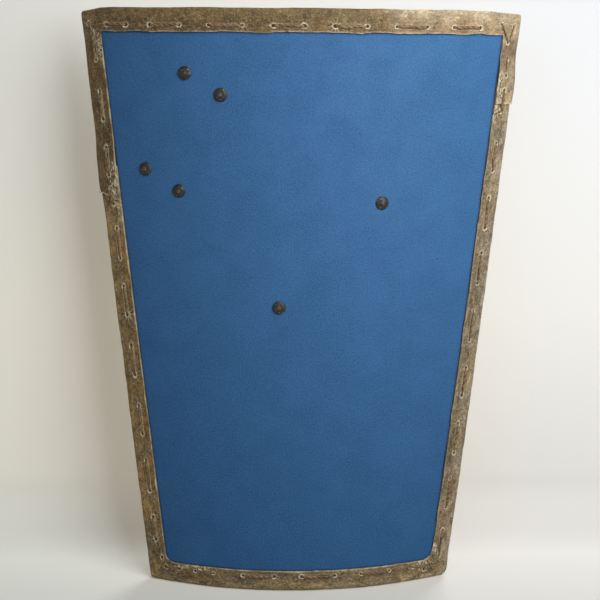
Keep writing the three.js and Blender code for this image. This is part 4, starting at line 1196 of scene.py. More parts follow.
def make_rim_top():
    """The top strip: up the right side, across the top and down the left side, its legs over the side
    strips."""
    corner_at = [0.0155, 0.0385]
    right_at = RIGHT.at(RIGHT_SHARES) + [RIGHT.length - a for a in corner_at]
    down_right = stations(RIGHT.length - RIGHT_LEG, RIGHT.length, right_at)
    top_at = TOP.at(TOP_SHARES) + corner_at + [TOP.length - a for a in corner_at]
    across = stations(0, TOP.length, top_at)
    down_left = stations(0, LEFT_LEG, LEFT_HOLES_AT + corner_at)
    runs = [
        (RIGHT, down_right, lap_lift(RIGHT.length - down_right, RIGHT_LEG, RIGHT_LAP)),
        (TOP, across[1:-1], 0 * across[1:-1]),
        (LEFT, down_left, lap_lift(down_left, LEFT_LEG, LEFT_LAP)),
    ]
    corner_holes = [CORNER_STITCHES[k][e] for k, e in ((0, 0), (0, 1), (1, 0), (3, 0))]
    left_holes, right_holes = HOLES["left"][:HOLES_IN_LEFT_LEG], HOLES["right"][-HOLES_IN_RIGHT_LEG:]
    holes = HOLES["top"] + left_holes + right_holes + corner_holes
    lips = front_stitches(left_holes, 1.0) + front_stitches(right_holes, 0.4)
    lips += front_stitches(HOLES["top"], 0.35)
    fray = [(LEFT, 0.050, 0.024), (LEFT, 0.246, 0.024), (RIGHT, RIGHT.length - 0.112, 0.024)]
    slants = (-RIGHT_SLANT, LEFT_SLANT)
    rim_strip("rim_top", runs, holes, HIDE_TOP, lips, 1.25, fray, slants, end_pale=0.8)


def make_rim():
    """The four rawhide strips: the top one with its two legs, then left, right and bottom."""
    make_rim_top()
    distance = stations(LEFT_LEG - LEFT_LAP + GAP, LEFT.length - GAP / 2, LEFT_HOLES_AT)
    holes = HOLES["left"] + [LOWEST_HOLE, CORNER_STITCHES[2][0]]
    lips = front_stitches(HOLES["left"][HOLES_IN_LEFT_LEG - 2 :], 0.9)
    fray = [(LEFT, 0.285, 0.022)]
    rim_strip("rim_left", [(LEFT, distance, 0 * distance)], holes, HIDE_LEFT, lips, 1.5, fray)

    distance = stations(GAP / 2, RIGHT.length - RIGHT_LEG + RIGHT_LAP - GAP, RIGHT.at(RIGHT_SHARES))
    holes = HOLES["right"]
    lips = front_stitches(holes, 0.45)
    fray = [(RIGHT, RIGHT.length - 0.146, 0.014), (RIGHT, 0.030, 0.012)]
    rim_strip("rim_right", [(RIGHT, distance, 0 * distance)], holes, HIDE_RIGHT, lips, 1.3, fray)

    holes_at = BOTTOM.at(BOTTOM_SHARES) + [BOTTOM.length - 0.040]
    distance = stations(GAP / 2, BOTTOM.length - GAP / 2, holes_at)
    holes = HOLES["bottom"] + [KNOT_STRANDS[1][0]]
    lips = front_stitches(HOLES["bottom"], 0.4)
    fray = [(BOTTOM, 0.046, 0.014), (BOTTOM, 0.085, 0.012), (BOTTOM, BOTTOM.length - 0.030, 0.016)]
    rim_strip("rim_bottom", [(BOTTOM, distance, 0 * distance)], holes, HIDE_BOTTOM, lips, 1.2, fray)


# Lacing


def stitch(start, end, level, points=STITCH_POINTS):
    """Flat points and depths of one stitch: half a superellipse that rises from the board's middle at
    one hole to the level between the holes and sinks into the other, the power 5 keeping it flat along
    its length."""
    angle = np.linspace(0, np.pi, points)
    power = 2 / 5
    share = 0.5 - 0.5 * np.sign(np.cos(angle)) * np.abs(np.cos(angle)) ** power
    height = np.sin(angle).clip(0) ** power
    flat = start + share[:, None] * (end - start)
    depth = MIDDLE_DEPTH + (level - MIDDLE_DEPTH) * height
    return np.concatenate([flat, depth[:, None]], 1)


def lace_path(holes, lapped):
    """The whole thong's flat path: a tail behind, stitches in front and behind by turns, and a tail
    behind. A tail is the first or last half of a stitch."""
    lift = [LAP_LIFT if lapped(a) or lapped(b) else 0.0 for a, b in zip(holes, holes[1:])]
    legs = []
    for i, (a, b) in enumerate(zip(holes, holes[1:])):
        level = BACK_LACE + lift[i] if i % 2 else FRONT_LACE - lift[i]
        legs.append(stitch(a, b, level)[:-1])
    first = stitch(holes[0] + THONG_TAIL * unit(holes[0] - holes[1]), holes[0], BACK_LACE)
    last = stitch(holes[-1], holes[-1] + THONG_TAIL * unit(holes[-1] - holes[-2]), BACK_LACE)
    half = STITCH_POINTS // 2
    return np.concatenate([first[half:-1], *legs, last[:half]])


def unit(vector):
    """The vector at a length of one."""
    return vector / np.linalg.norm(vector)


def thong_rings(path, seed, width):
    """Rings of a twisted thong along a flat path: it sways a little, narrows and widens by slow noise,
    and turns about its own line by a few tens of degrees between the holes. Two grooves wind round
    it."""
    path = even_path(path, THONG_STEP)
    world = on_shield(path[:, 0], path[:, 1], path[:, 2])
    run = np.arange(len(path)) * THONG_STEP
    direction = np.gradient(path[:, :2], axis=0)
    along = unit(path[-1, :2] - path[0, :2])
    across = np.array([-along[1], along[0]])
    beside = path[:, :2] + across * 0.001
    side = on_shield(beside[:, 0], beside[:, 1], path[:, 2]) - world
    side /= np.linalg.norm(side, axis=1, keepdims=True)
    flatness = np.linalg.norm(direction, axis=1) / THONG_STEP
    sway = 0.0009 * smooth_noise(run, 0, 0.014, seed) * np.clip(flatness, 0, 1)
    world = world + side * sway[:, None]
    twist = 0.8 * smooth_noise(run, 0, 0.013, seed + 1) * np.clip(flatness, 0, 1)
    wide = width * THONG_WIDTH / 2 * (0.92 + 0.18 * smooth_noise(run, 0, 0.008, seed + 2))
    thick = THONG_THICKNESS / 2 * (0.95 + 0.18 * smooth_noise(run, 0, 0.006, seed + 3))
    rings, run = tube(world, side, wide, thick, THONG_SIDES, squareness=2.4, twist=twist)
    turns = np.arange(THONG_SIDES)[None, :] / (THONG_SIDES / 2) - run[:, None] / TWIST_PITCH
    groove = 1 - 0.16 * np.cos(2 * np.pi * turns)
    centre = rings.mean(1, keepdims=True)
    return centre + (rings - centre) * groove[..., None], run


def make_laces():
    """The four thongs through the rim, one for each edge."""
    left_lap = range_on(LEFT, LEFT_LEG - LEFT_LAP - JOGGLE, LEFT_LEG)
    right_lap = range_on(RIGHT, RIGHT.length - RIGHT_LEG, RIGHT.length - RIGHT_LEG + RIGHT_LAP + JOGGLE)
    nowhere = range_on(TOP, 2, 3)
    laps = {"left": left_lap, "right": right_lap, "top": nowhere, "bottom": nowhere}
    for i, (name, holes) in enumerate(HOLES.items()):
        rings = thong_rings(lace_path(holes, laps[name]), 100 + 10 * i, THONG_SHARES[name])
        piece = tube_piece(f"thong_{name}", *rings)
        dress(piece, "shield", "leather_thong", THONG, f"lace_{name}")


def range_on(edge, low, high):
    """A test of whether a flat point lies beside a stretch of an edge."""
    return lambda point: low - 0.003 < (point - edge.start) @ edge.along < high + 0.003


def make_corner_stitches():
    """Short thongs that close the corners: each a stitch in front with its ends drawn into the
    holes."""
    for i, (start, end) in enumerate(CORNER_STITCHES):
        path = stitch(start, end, FRONT_LACE - 0.0004)
        rings = thong_rings(path, 300 + 10 * i, CORNER_THONG_SHARE)
        piece = tube_piece(f"corner_stitch_{i + 1}", *rings)
        dress(piece, "shield", "leather_thong", THONG_END)


def make_knot():
    """The tied ends at the lower right corner: crossing strands, each lying a little over the one
    before."""
    for i, (start, end) in enumerate(KNOT_STRANDS):
        path = stitch(start, end, FRONT_LACE - 0.0003 - 0.0007 * (i % 3), 24)
        bow = (0.0016 if i % 2 else -0.0014) * np.sin(np.linspace(0, np.pi, len(path)))
        side = unit(end - start)[::-1] * np.array([-1, 1])
        path[:, :2] += bow[:, None] * side
        rings = thong_rings(path, 400 + 10 * i, KNOT_THONG_SHARE)
        piece = tube_piece(f"knot_strand_{i + 1}", *rings)
        dress(piece, "shield", "leather_thong", THONG_END)


def fray_spots():
    """Where the hide is torn: (edge, distance, reach, count, inset, length, thickness)."""
    right = RIGHT.length
    return [
        (LEFT, 0.046, 0.022, 60, 0.0290, 0.0065, 0.00035),
        (LEFT, 0.264, 0.013, 70, 0.0240, 0.0060, 0.00036),
        (LEFT, 0.238, 0.012, 26, 0.0295, 0.0060, 0.00034),
        (LEFT, 0.259, 0.003, 14, 0.0020, 0.0045, 0.00040),
        (RIGHT, right - 0.114, 0.018, 90, 0.0275, 0.0055, 0.00034),
        (RIGHT, right - 0.142, 0.006, 14, 0.0235, 0.0050, 0.00034),
        (RIGHT, 0.030, 0.008, 16, 0.0290, 0.0050, 0.00032),
        (BOTTOM, BOTTOM.length - 0.034, 0.012, 30, 0.0220, 0.0060, 0.00034),
        (BOTTOM, 0.030, 0.010, 22, 0.0240, 0.0060, 0.00034),
        (BOTTOM, 0.047, 0.006, 12, 0.0305, 0.0050, 0.00040),
        (BOTTOM, 0.0783, 0.0006, 2, 0.0322, 0.0075, 0.00085),
        (BOTTOM, 0.0909, 0.0006, 2, 0.0312, 0.0075, 0.00085),
    ]


def make_frays():
    """Torn fibres of rawhide along the worn stretches of the cut edge and at the laps: each path turns
    by a random slow wave about the edge's direction, and its ring radius falls to nothing at both
    ends."""
    parts = []
    count_along, count_round = 10, 5
    t = np.linspace(-0.5, 0.5, count_along)
    for edge, at, reach, count, mid, longest, thickest in fray_spots():
        for _ in range(count):
            distance = at + rng.normal(0, reach * 0.6)
            inset = np.clip(mid + rng.normal(0, 0.0024), 0.0010, RIM_WIDTH + 0.0008)
            length = rng.uniform(0.45, 1.1) * longest
            heading = rng.normal(0, 0.55) + rng.normal(0, 0.9) * t
            heading = heading + 0.7 * np.sin(9 * t + rng.uniform(0, 6))
            steps = np.stack([np.cos(heading), np.sin(heading)], 1) * length / (count_along - 1)
            line = np.cumsum(steps, 0) - steps.sum(0) / 2
            flat = round_corners(edge.point(distance + line[:, 0], inset + line[:, 1] * 0.7))
            lap = 0.0
            if edge is LEFT and distance < LEFT_LEG:
                lap_start = LEFT_LEG - LEFT_LAP
                lap = LAP_LIFT * smoothstep(distance, lap_start - LAP_SWELL, lap_start)
            if edge is RIGHT and 0 < distance - (RIGHT.length - RIGHT_LEG) < RIGHT_LAP:
                lap = LAP_LIFT
            arch = rng.uniform(0.0, 0.0014) * (1 - (2 * t) ** 2)
            depth = RIM_FRONT - lap - 0.0001 - arch - 0.0003 * np.sin(7 * t + rng.uniform(0, 6))
            world = on_shield(flat[:, 0], flat[:, 1], depth)
            thick = rng.uniform(0.6, 1.2) * thickest * np.sqrt(np.clip(1.02 - (2 * t) ** 2, 0, 1))
            forwards = np.array([0.0, -1.0, 0.0])
            rings, _ = tube(world, forwards, thick * 0.7, thick * 1.3, count_round, squareness=2)
            parts.append((rings, capped_quads(count_along, count_round)))
    piece = join("rawhide_frays", parts)
    shades = rng.choice([1.0, 0.75, 0.35, 0.0], len(parts), p=[0.35, 0.25, 0.2, 0.2])
    shades[-4:] = 1.0
    each = count_along * count_round
    set_mask(piece.data, "pale", np.repeat(shades, each))
    set_mask(piece.data, "dark", np.repeat(0.6 * (shades < 0.2), each))
    dress(piece, "shield", "rawhide", HIDE_FRAY)


# Canvas and board


def inset_corners(inset):
    """The outline's corners moved along their mitres by an inset, as a dictionary."""
    moved = {}
    for edge, name in zip((LEFT, BOTTOM, RIGHT, TOP), WALK):
        moved[name] = edge.start + inset * (edge.inward + edge.slopes[0] * edge.along)
    return moved


def flat_grid(inset, near, columns, rows):
    """A grid over the inset outline: each row is a level line. Its first and last points keep the near
    distances from the side edges, and those between are shared out evenly; the rows are laid the same
    way."""
    corner = inset_corners(inset)
    near = np.asarray(near)
    margin = near[-1]
    between = np.linspace(0, 1, columns)[1:-1]
    height = corner["top_left"][1] - corner["bottom_left"][1]
    middle = margin + np.linspace(0, 1, rows)[1:-1] * (height - 2 * margin)
    up = np.concatenate([near, middle, (height - near)[::-1]])
    share = (up / height)[:, None]
    left = corner["bottom_left"] * (1 - share) + corner["top_left"] * share
    right = corner["bottom_right"] * (1 - share) + corner["top_right"] * share
    width = right[:, 0] - left[:, 0]
    middle = margin + between[None, :] * (width - 2 * margin)[:, None]
    across = [np.tile(near, (len(up), 1)), middle, width[:, None] - near[::-1][None, :]]
    across = np.concatenate(across, 1)
    level = np.broadcast_to(left[:, 1, None], across.shape)
    return np.stack([left[:, 0, None] + across, level], -1)


def slab_piece(name, flat, front, back, uv=False, masks=None):
    """A bent slab between two depths, each a value or an array over the flat grid, closed round its
    border. With uv its map holds the flat places."""
    flat = round_corners(flat)
    rows, columns = flat.shape[:2]
    faces = grid_quads(rows, columns)
    count = rows * columns
    both = np.concatenate([faces, faces[:, ::-1] + count])
    ring = np.concatenate(
        [
            np.arange(columns),
            columns * np.arange(2, rows + 1) - 1,
            count - 2 - np.arange(columns - 1),
            columns * np.arange(rows - 2, 0, -1),
        ]
    )
    after = np.roll(ring, -1)
    border = np.stack([after, ring, ring + count, after + count], 1)
    face = on_shield(flat[..., 0], flat[..., 1], front)
    rear = on_shield(flat[..., 0], flat[..., 1], back)
    points = np.concatenate([face.reshape(-1, 3), rear.reshape(-1, 3)])
    run = np.tile(flat.reshape(-1, 2), (2, 1)) if uv else None
    masks = {mask: np.tile(values.ravel(), 2) for mask, values in (masks or {}).items()}
    return new_piece(name, points, np.concatenate([both, border]).tolist(), masks, run)


def make_canvas():
    """The facing: stretched flat on the board, with slow undulations of a tenth of a millimetre. Along
    the rim it has a painted contact shadow with grime, e to the power of minus the square of the distance
    over 1.9 mm."""
    near = [0, 0.012, 0.022, *np.arange(0.0275, 0.0385, 0.001), 0.042, 0.048]
    flat = flat_grid(BOARD_INSET, near, 110, 150)
    waves = 0.00012 * noise_over(flat, 0.035, 41)
    waves += 0.00005 * noise_over(flat, 0.009, 42)
    away = np.stack([(flat - edge.start) @ edge.inward for edge in (LEFT, BOTTOM, RIGHT, TOP)]).min(0)
    beyond = (away - RIM_WIDTH) / 0.0019
    rim_shadow_and_grime = np.exp(-np.clip(beyond, 0, None) ** 2) * (0.8 + 0.3 * noise_over(flat, 0.006, 43))
    piece = slab_piece("canvas_cloth", flat, waves, CANVAS + waves * 0.5, uv=True, masks={"rim_shadow_and_grime": rim_shadow_and_grime})
    dress(piece, "shield", "painted_canvas", CANVAS_BLUE, "canvas_facing")


def make_board():
    """The bent plywood under the canvas."""
    flat = flat_grid(BOARD_INSET, np.arange(0, 0.0121, 0.003), 90, 60)
    piece = slab_piece("bent_board", flat, BOARD_DEPTH, BACK_DEPTH)
    dress(piece, "shield", "birch_plywood", BIRCH, "plywood_board")


# Straps


class Strap:
    """A strap's place on the board, and the frame that stands on the board's back at its centre."""

    def __init__(self, centre, span, angle, width, clear):
        self.centre = np.array([centre[0] * TOP_WIDTH / 2, centre[1] * HEIGHT])
        self.along = np.array([math.cos(math.radians(angle)), math.sin(math.radians(angle))])
        self.span, self.width, self.clear = span, width, clear
        turn = self.centre[0] / BEND_RADIUS
        round_bend = np.array([math.cos(turn), math.sin(turn), 0.0])
        up = np.array([0.0, 0.0, 1.0])
        self.out = np.array([-math.sin(turn), math.cos(turn), 0.0])
        self.x = round_bend * self.along[0] + up * self.along[1]
        self.z = np.cross(self.x, self.out)
        self.foot = on_shield(self.centre[0], self.centre[1], BACK_DEPTH)

    def standing(self, s, height, across):
        """A point of the straight standing frame: s along the strap, height off the board, and across
        it."""
        s, height, across = (v[..., None] for v in np.broadcast_arrays(s, height, across))
        return self.foot + s * self.x + height * self.out + across * self.z

    def bent(self, s, height, across):
        """The same, following the bent board at the feet and the standing frame above the blend
        height."""
        s, height, across = np.broadcast_arrays(s, height, across)
        side = np.array([-self.along[1], self.along[0]])
        flat = self.centre + s[..., None] * self.along + across[..., None] * side
        low = on_shield(flat[..., 0], flat[..., 1], BACK_DEPTH + height)
        share = smoothstep(height, GAP + LEATHER, GAP + LEATHER + BLEND_HEIGHT)[..., None]
        return low * (1 - share) + self.standing(s, height, across) * share

    def rivets(self):
        """The flat points of its two rivets."""
        return [self.centre - self.along * self.span / 2, self.centre + self.along * self.span / 2]


STRAP = {name: Strap(**sizes) for name, sizes in STRAPS.items()}


def rounded_route(points, radii, steps=9):
    """A path whose inner corners are arcs: each arc touches both legs at the radius over the half
    angle's tangent from the corner."""
    points = [np.array(p, float) for p in points]
    route = [points[0]]
    for before, here, after, radius in zip(points, points[1:], points[2:], radii):
        a, b = unit(before - here), unit(after - here)
        half = math.acos(np.clip(a @ b, -1, 1)) / 2
        centre = here + unit(a + b) * radius / math.sin(half)
        spoke = here + a * radius / math.tan(half) - centre
        to_corner = here - centre
        way = np.sign(spoke[0] * to_corner[1] - spoke[1] * to_corner[0])
        for turn in np.linspace(0, way * (math.pi - 2 * half), steps):
            c, s = math.cos(turn), math.sin(turn)
            route.append(centre + np.array([c * spoke[0] - s * spoke[1], s * spoke[0] + c * spoke[1]]))
    return np.array(route + [points[-1]])


def loop_side(span, clear, leg_run):
    """A foot, a leg and the start of the loop's top, on the near side."""
    near = -span / 2
    foot = GAP + LEATHER / 2
    return [
        (near - FOOT_REACH, foot),
        (near + FOOT_RUN, foot),
        (near + FOOT_RUN + leg_run, clear + LEATHER / 2),
    ]


def strap_section(count=9):
    """A leather strap's section for unit half width and thickness: rounded edges and a creased line
    near them. Gives points round it, then the burnished-edge mask."""
    across = np.concatenate([[1.0, 0.985, 0.95, 0.90, 0.86, 0.83, 0.80], np.linspace(0.6, -0.6, count)])
    across = np.concatenate([across, -across[6::-1]])
    edge = np.clip((np.abs(across) - 0.93) / 0.07, 0, 1)
    rise = np.sqrt(np.clip(1 - edge**2, 0, 1))
    crease = 0.16 * np.exp(-(((np.abs(across) - 0.83) / 0.02) ** 2))
    top = np.stack([across, rise * (1 - crease)], 1)
    bottom = np.stack([across[-2:0:-1], -rise[-2:0:-1]], 1)
    ring = np.concatenate([top, bottom])
    mask = np.clip((np.abs(ring[:, 0]) - 0.90) / 0.08, 0, 1)
    return ring, mask


def strap_piece(name, strap, route, widths):
    """A strap along a route in its own upright plane. Each ring lies across the route: half widths go
    across the strap, and half the thickness, eased by slow noise, goes along the route's normal."""
    along = np.gradient(route, axis=0)
    along /= np.linalg.norm(along, axis=1, keepdims=True)
    normal = np.stack([-along[:, 1], along[:, 0]], 1)
    ring, mask = strap_section()
    run = run_along(route)
    half = LEATHER / 2 * (1 + 0.06 * smooth_noise(run, strap.span, 0.02, 51))
    wide = np.asarray(widths) * (1 + 0.012 * smooth_noise(run, strap.span, 0.03, 52))
    off = ring[None, :, 1] * half[:, None]
    s = route[:, 0, None] + normal[:, 0, None] * off
    height = route[:, 1, None] + normal[:, 1, None] * off
    across = ring[None, :, 0] * wide[:, None]
    points = strap.bent(s, height, across)
    edge = np.broadcast_to(mask, points.shape[:2]).copy()
    edge[:2] = 1
    edge[-2:] = 1
    uv = np.stack(np.broadcast_arrays(run[:, None], ring[None, :, 0]), -1)
    return new_piece(name, points, capped_quads(*points.shape[:2]), masks={"edge": edge}, uv=uv)


def end_widths(route, half, round_end=True):
    """Half widths along a route: full, and over the last half width of a rounded end a quarter of it
    plus three quarters of a half circle's."""
    run = run_along(route)
    from_end = run[-1] - run if round_end else run[-1] - run + half
    nearest = np.clip(np.minimum(run, from_end) / half, 0, 1)
    return half * (0.25 + 0.75 * np.sqrt(np.clip(1 - (1 - nearest) ** 2, 0, 1)))


def fine_route(route, step=0.0025, close=0.0006, near=0.014):
    """The route with close points near its ends, where the strap's outline rounds, and even ones
    between."""
    run = run_along(route)
    ends = np.arange(0, near, close)
    at = np.concatenate([ends, np.arange(near, run[-1] - near, step), run[-1] - ends[::-1]])
    return np.stack([np.interp(at, run, route[:, k]) for k in range(2)], -1)


def mirrored(points):
    """The same side of a loop, at the other end of the strap."""
    return [(-x, y) for x, y in points][::-1]


def peg(strap, s, half_long, half_wide, low, high, squareness):
    """An upright peg through a strap, to punch it with: a superellipse between two heights."""
    line = strap.standing(s, np.array([low, high]), 0.0)
    rings, run = tube(line, strap.x, half_long, half_wide, sides=24, squareness=squareness)
    cutter = tube_piece("peg", rings, run)
    set_mask(cutter.data, "edge", np.ones(rings.shape[:2]))
    return cutter


def punch(piece, pegs):
    """Takes the pegs out of a piece with exact booleans, and then removes them."""
    for cutter in pegs:
        cut = piece.modifiers.new("cut", "BOOLEAN")
        cut.operation = "DIFFERENCE"
        cut.solver = "EXACT"
        cut.object = cutter
    graph = bpy.context.evaluated_depsgraph_get()
    solid, whole = piece.evaluated_get(graph), piece.data
    piece.data = bpy.data.meshes.new_from_object(solid, preserve_all_data_layers=True, depsgraph=graph)
    piece.modifiers.clear()
    piece.data.set_sharp_from_angle(angle=math.radians(50))
    bpy.data.meshes.remove(whole)
    for cutter in pegs:
        bpy.data.meshes.remove(cutter.data)


def make_plain_strap(name, node_name):
    """The hand grip or the wrist strap: a loop between its two riveted feet."""
    strap = STRAP[name]
    side = loop_side(strap.span, strap.clear, HAND_LEG_RUN)
    radii = [FOOT_BEND, SHOULDER_BEND, SHOULDER_BEND, FOOT_BEND]
    route = fine_route(rounded_route(side + mirrored(side), radii))
    piece = strap_piece(f"{name}_leather", strap, route, end_widths(route, strap.width / 2))
    dress(piece, "shield", "strap_leather", HARNESS, node_name)


def make_buckle_half():
    """Up from its rivet, over the heel bar and back under itself: the fold is half a circle round the
    bar."""
    strap = STRAP["forearm"]
    top = BAR_HEIGHT + CHAPE_RADIUS
    under = top - LEATHER - GAP
    foot = loop_side(strap.span, top - LEATHER / 2, FOREARM_LEG_RUN)
    rise = rounded_route(foot + [(BAR_OFFSET, top)], [FOOT_BEND, SHOULDER_BEND])
    turn = np.linspace(np.pi / 2, -np.pi / 2, 17)[1:]
    fold = np.array([BAR_OFFSET, BAR_HEIGHT])
    fold = fold + CHAPE_RADIUS * np.stack([np.cos(turn), np.sin(turn)], 1)
    tail = np.array([(BAR_OFFSET - 0.010, under), (BAR_OFFSET - CHAPE_LENGTH, under)])
    route = fine_route(np.concatenate([rise, fold, tail]), step=0.0018)
    widths = end_widths(route, strap.width / 2, round_end=False)
    piece = strap_piece("buckle_leather", strap, route, widths)
    low, high = BAR_HEIGHT - CHAPE_RADIUS - LEATHER, BAR_HEIGHT + CHAPE_RADIUS + LEATHER
    punch(piece, [peg(strap, BAR_OFFSET, CHAPE_SLOT_HALF_LENGTH, SLOT_HALF_WIDTH, low, high, 5)])
    dress(piece, "shield", "strap_leather", HARNESS, "forearm_buckle_strap")


def make_billet():
    """Up from its rivet, under the front bar, over the heel bar and along the strap to its rounded tip,
    with a slot for the tongue and two spare holes."""
    strap = STRAP["forearm"]
    top = BAR_HEIGHT + BILLET_LIFT
    foot = loop_side(strap.span, BILLET_UNDER_BAR - LEATHER / 2, FOREARM_LEG_RUN)
    points = [(BAR_OFFSET - BILLET_TAIL, top), (BAR_OFFSET, top)]
    points += [(FRONT_BAR_X - 2 * BAR_RADIUS, BILLET_UNDER_BAR)] + mirrored(foot)
    radii = [SHOULDER_BEND, SHOULDER_BEND, SHOULDER_BEND, FOOT_BEND]
    route = fine_route(rounded_route(points, radii))
    piece = strap_piece("billet_leather", strap, route, end_widths(route, strap.width / 2))
    low, high = top - 0.005, top + 0.005
    at = BAR_OFFSET + BILLET_SLOT_OFFSET
    pegs = [peg(strap, at, BILLET_SLOT_HALF_LENGTH, SLOT_HALF_WIDTH, low, high, 5)]
    for spare in (1, 2):
        at = BAR_OFFSET - spare * BILLET_HOLE_PITCH
        pegs.append(peg(strap, at, BILLET_HOLE_RADIUS, BILLET_HOLE_RADIUS, low, high, 2))
    punch(piece, pegs)
    dress(piece, "shield", "strap_leather", HARNESS, "forearm_billet_strap")


# Rivets


def turned_piece(name, profile, centre, hammer, sides=40):
    """A surface turned about the depth axis at a flat point. The profile is (radius, depth) pairs that
    start and end on the axis or close on themselves; hammered work moves each point along the axis by
    slow noise."""
    profile = np.asarray(profile, float)
    angle = np.linspace(0, 2 * np.pi, sides, endpoint=False)
    radius, depth = profile[:, 0, None], profile[:, 1, None]
    u = centre[0] + radius * np.cos(angle)
    v = centre[1] + radius * np.sin(angle)
    wobble = hammer * smooth_noise(u, v, 0.0027, 61) * smoothstep(radius, 0.0003, 0.0015)
    points = on_shield(u, v, depth + wobble)
    if np.allclose(profile[0], profile[-1]):
        faces = grid_quads(len(profile) - 1, sides, loop_rows=True, loop_columns=True).tolist()
        return new_piece(name, points[:-1], faces, crease=40)
    return new_piece(name, points, capped_quads(len(profile), sides), crease=40)


def dome(radius, height, base, inner, steps=10):
    """A shallow dome's (radius, depth) pairs from its foot in to a hole: a quarter of an ellipse."""
    angle = np.linspace(0, math.acos(inner / radius), steps)
    return list(zip(radius * np.cos(angle), base - height * np.sin(angle)))


def make_rivet(number, centre):
    """One rivet: the hollow domed rose on the face, the shank with its peened end and back head, and
    the washer under that head."""
    hole = SHANK_RADIUS + GAP
    outer = dome(ROSE_RADIUS, ROSE_HEIGHT, -GAP, hole)
    inner = dome(ROSE_RADIUS - ROSE_THICKNESS, ROSE_HEIGHT - ROSE_THICKNESS, -GAP, hole, steps=6)
    rose = turned_piece(f"rose_{number}", outer + inner[::-1] + outer[:1], centre, hammer=0.00035)
    dress(rose, "shield", "dark_iron", IRON, f"rivet_rose_{number}")
    crown = -2 * GAP - ROSE_HEIGHT
    seat = BACK_DEPTH + 3 * GAP + LEATHER + WASHER_THICKNESS
    peen = [(CENTRE_RADIUS, crown - PEEN_HEIGHT)]
    peen += dome(PEEN_RADIUS, PEEN_HEIGHT, crown, PEAK_RADIUS, steps=8)[::-1]
    shank = [(SHANK_RADIUS, crown), (SHANK_RADIUS, seat)]
    head = dome(BACK_HEAD_RADIUS, -BACK_HEAD_HEIGHT, seat, PEAK_RADIUS, steps=9)
    profile = peen + shank + head + [(CENTRE_RADIUS, seat + BACK_HEAD_HEIGHT)]
    rivet = turned_piece(f"shank_{number}", profile, centre, hammer=0.00045, sides=28)
    dress(rivet, "shield", "dark_iron", IRON_HEAD, f"rivet_{number}")
    front = BACK_DEPTH + 2 * GAP + LEATHER
    back = front + WASHER_THICKNESS
    bevelled = WASHER_RADIUS - WASHER_BEVEL
    section = [(hole, front), (bevelled, front), (WASHER_RADIUS, front + WASHER_BEVEL)]
    section += [(WASHER_RADIUS, back - WASHER_BEVEL), (bevelled, back), (hole, back), (hole, front)]
    washer = turned_piece(f"washer_{number}", section, centre, hammer=0.00012, sides=36)
    dress(washer, "shield", "dark_iron", IRON, f"rivet_washer_{number}")


def make_rivets():
    """The six rivets, two for each strap."""
    centres = [centre for strap in STRAP.values() for centre in strap.rivets()]
    for number, centre in enumerate(centres, 1):
        make_rivet(number, centre)


# Buckle and keeper


def make_buckle_frame():
    """A hammered bar bent into a rounded rectangle about the heel bar, tilted with the frame."""
    strap = STRAP["forearm"]
    half = strap.width / 2 + BUCKLE_SLACK + BAR_RADIUS
    front, heel = BUCKLE_FRONT_ROUNDING, BUCKLE_HEEL_ROUNDING
    corners = [
        (BUCKLE_LENGTH - front, half - front, front, 0.0),
        (heel, half - heel, heel, 0.5 * np.pi),
        (heel, heel - half, heel, np.pi),
        (BUCKLE_LENGTH - front, front - half, front, 1.5 * np.pi),
    ]
    x, z = quarter_frame(corners, arc_points=9, step=0.0012).T
    lean_x, lean_y = x * math.cos(BUCKLE_TILT), x * math.sin(BUCKLE_TILT)
    world = strap.standing(BAR_OFFSET + lean_x, BAR_HEIGHT + lean_y, z)
    face = strap.out * math.cos(BUCKLE_TILT) - strap.x * math.sin(BUCKLE_TILT)
    rings = loop_tube(world, face, BAR_RADIUS * 0.98, BAR_RADIUS * 0.98, sides=14, squareness=2.3)
    piece = tube_piece("buckle_bar", *rings, loop=True)
    dress(piece, "buckle", "dark_iron", IRON, "buckle_frame")


def make_tongue():
    """A tapered rod: most of a turn round the heel bar, then up through the billet and on to the front
    bar."""
    strap = STRAP["forearm"]
    eye = BAR_RADIUS + BAR_SLACK + 0.0009
    rest = FRONT_BAR_HEIGHT + BAR_RADIUS + GAP + 0.0012 - BAR_HEIGHT
    turn = np.linspace(-1.35 * np.pi, 0.30 * np.pi, 30)[::-1]
    ring = np.stack([eye * np.cos(turn), eye * np.sin(turn)], 1)[::-1]
    tip = FRONT_BAR_X - BAR_OFFSET + 0.003
    bends = [ring[-1], (0.0036, BILLET_LIFT), (0.0066, rest), (tip, rest)]
    arm = rounded_route(bends, [0.003, 0.004], steps=7)
    path = even_path(np.concatenate([ring[:-1], arm]), 0.0006)
    world = strap.standing(BAR_OFFSET + path[:, 0], BAR_HEIGHT + path[:, 1], 0.0)
    share = np.linspace(0, 1, len(path))
    wide = 0.0016 * (1 - 0.45 * smoothstep(share, 0.8, 1.0))
    thick = 0.0008 + 0.0003 * smoothstep(share, 0.3, 0.55) - 0.0003 * smoothstep(share, 0.9, 1.0)
    rings, run = tube(world, strap.z, wide, thick, sides=12, squareness=3)
    piece = tube_piece("tongue_rod", rings, run)
    dress(piece, "tongue", "dark_iron", IRON, "buckle_tongue")


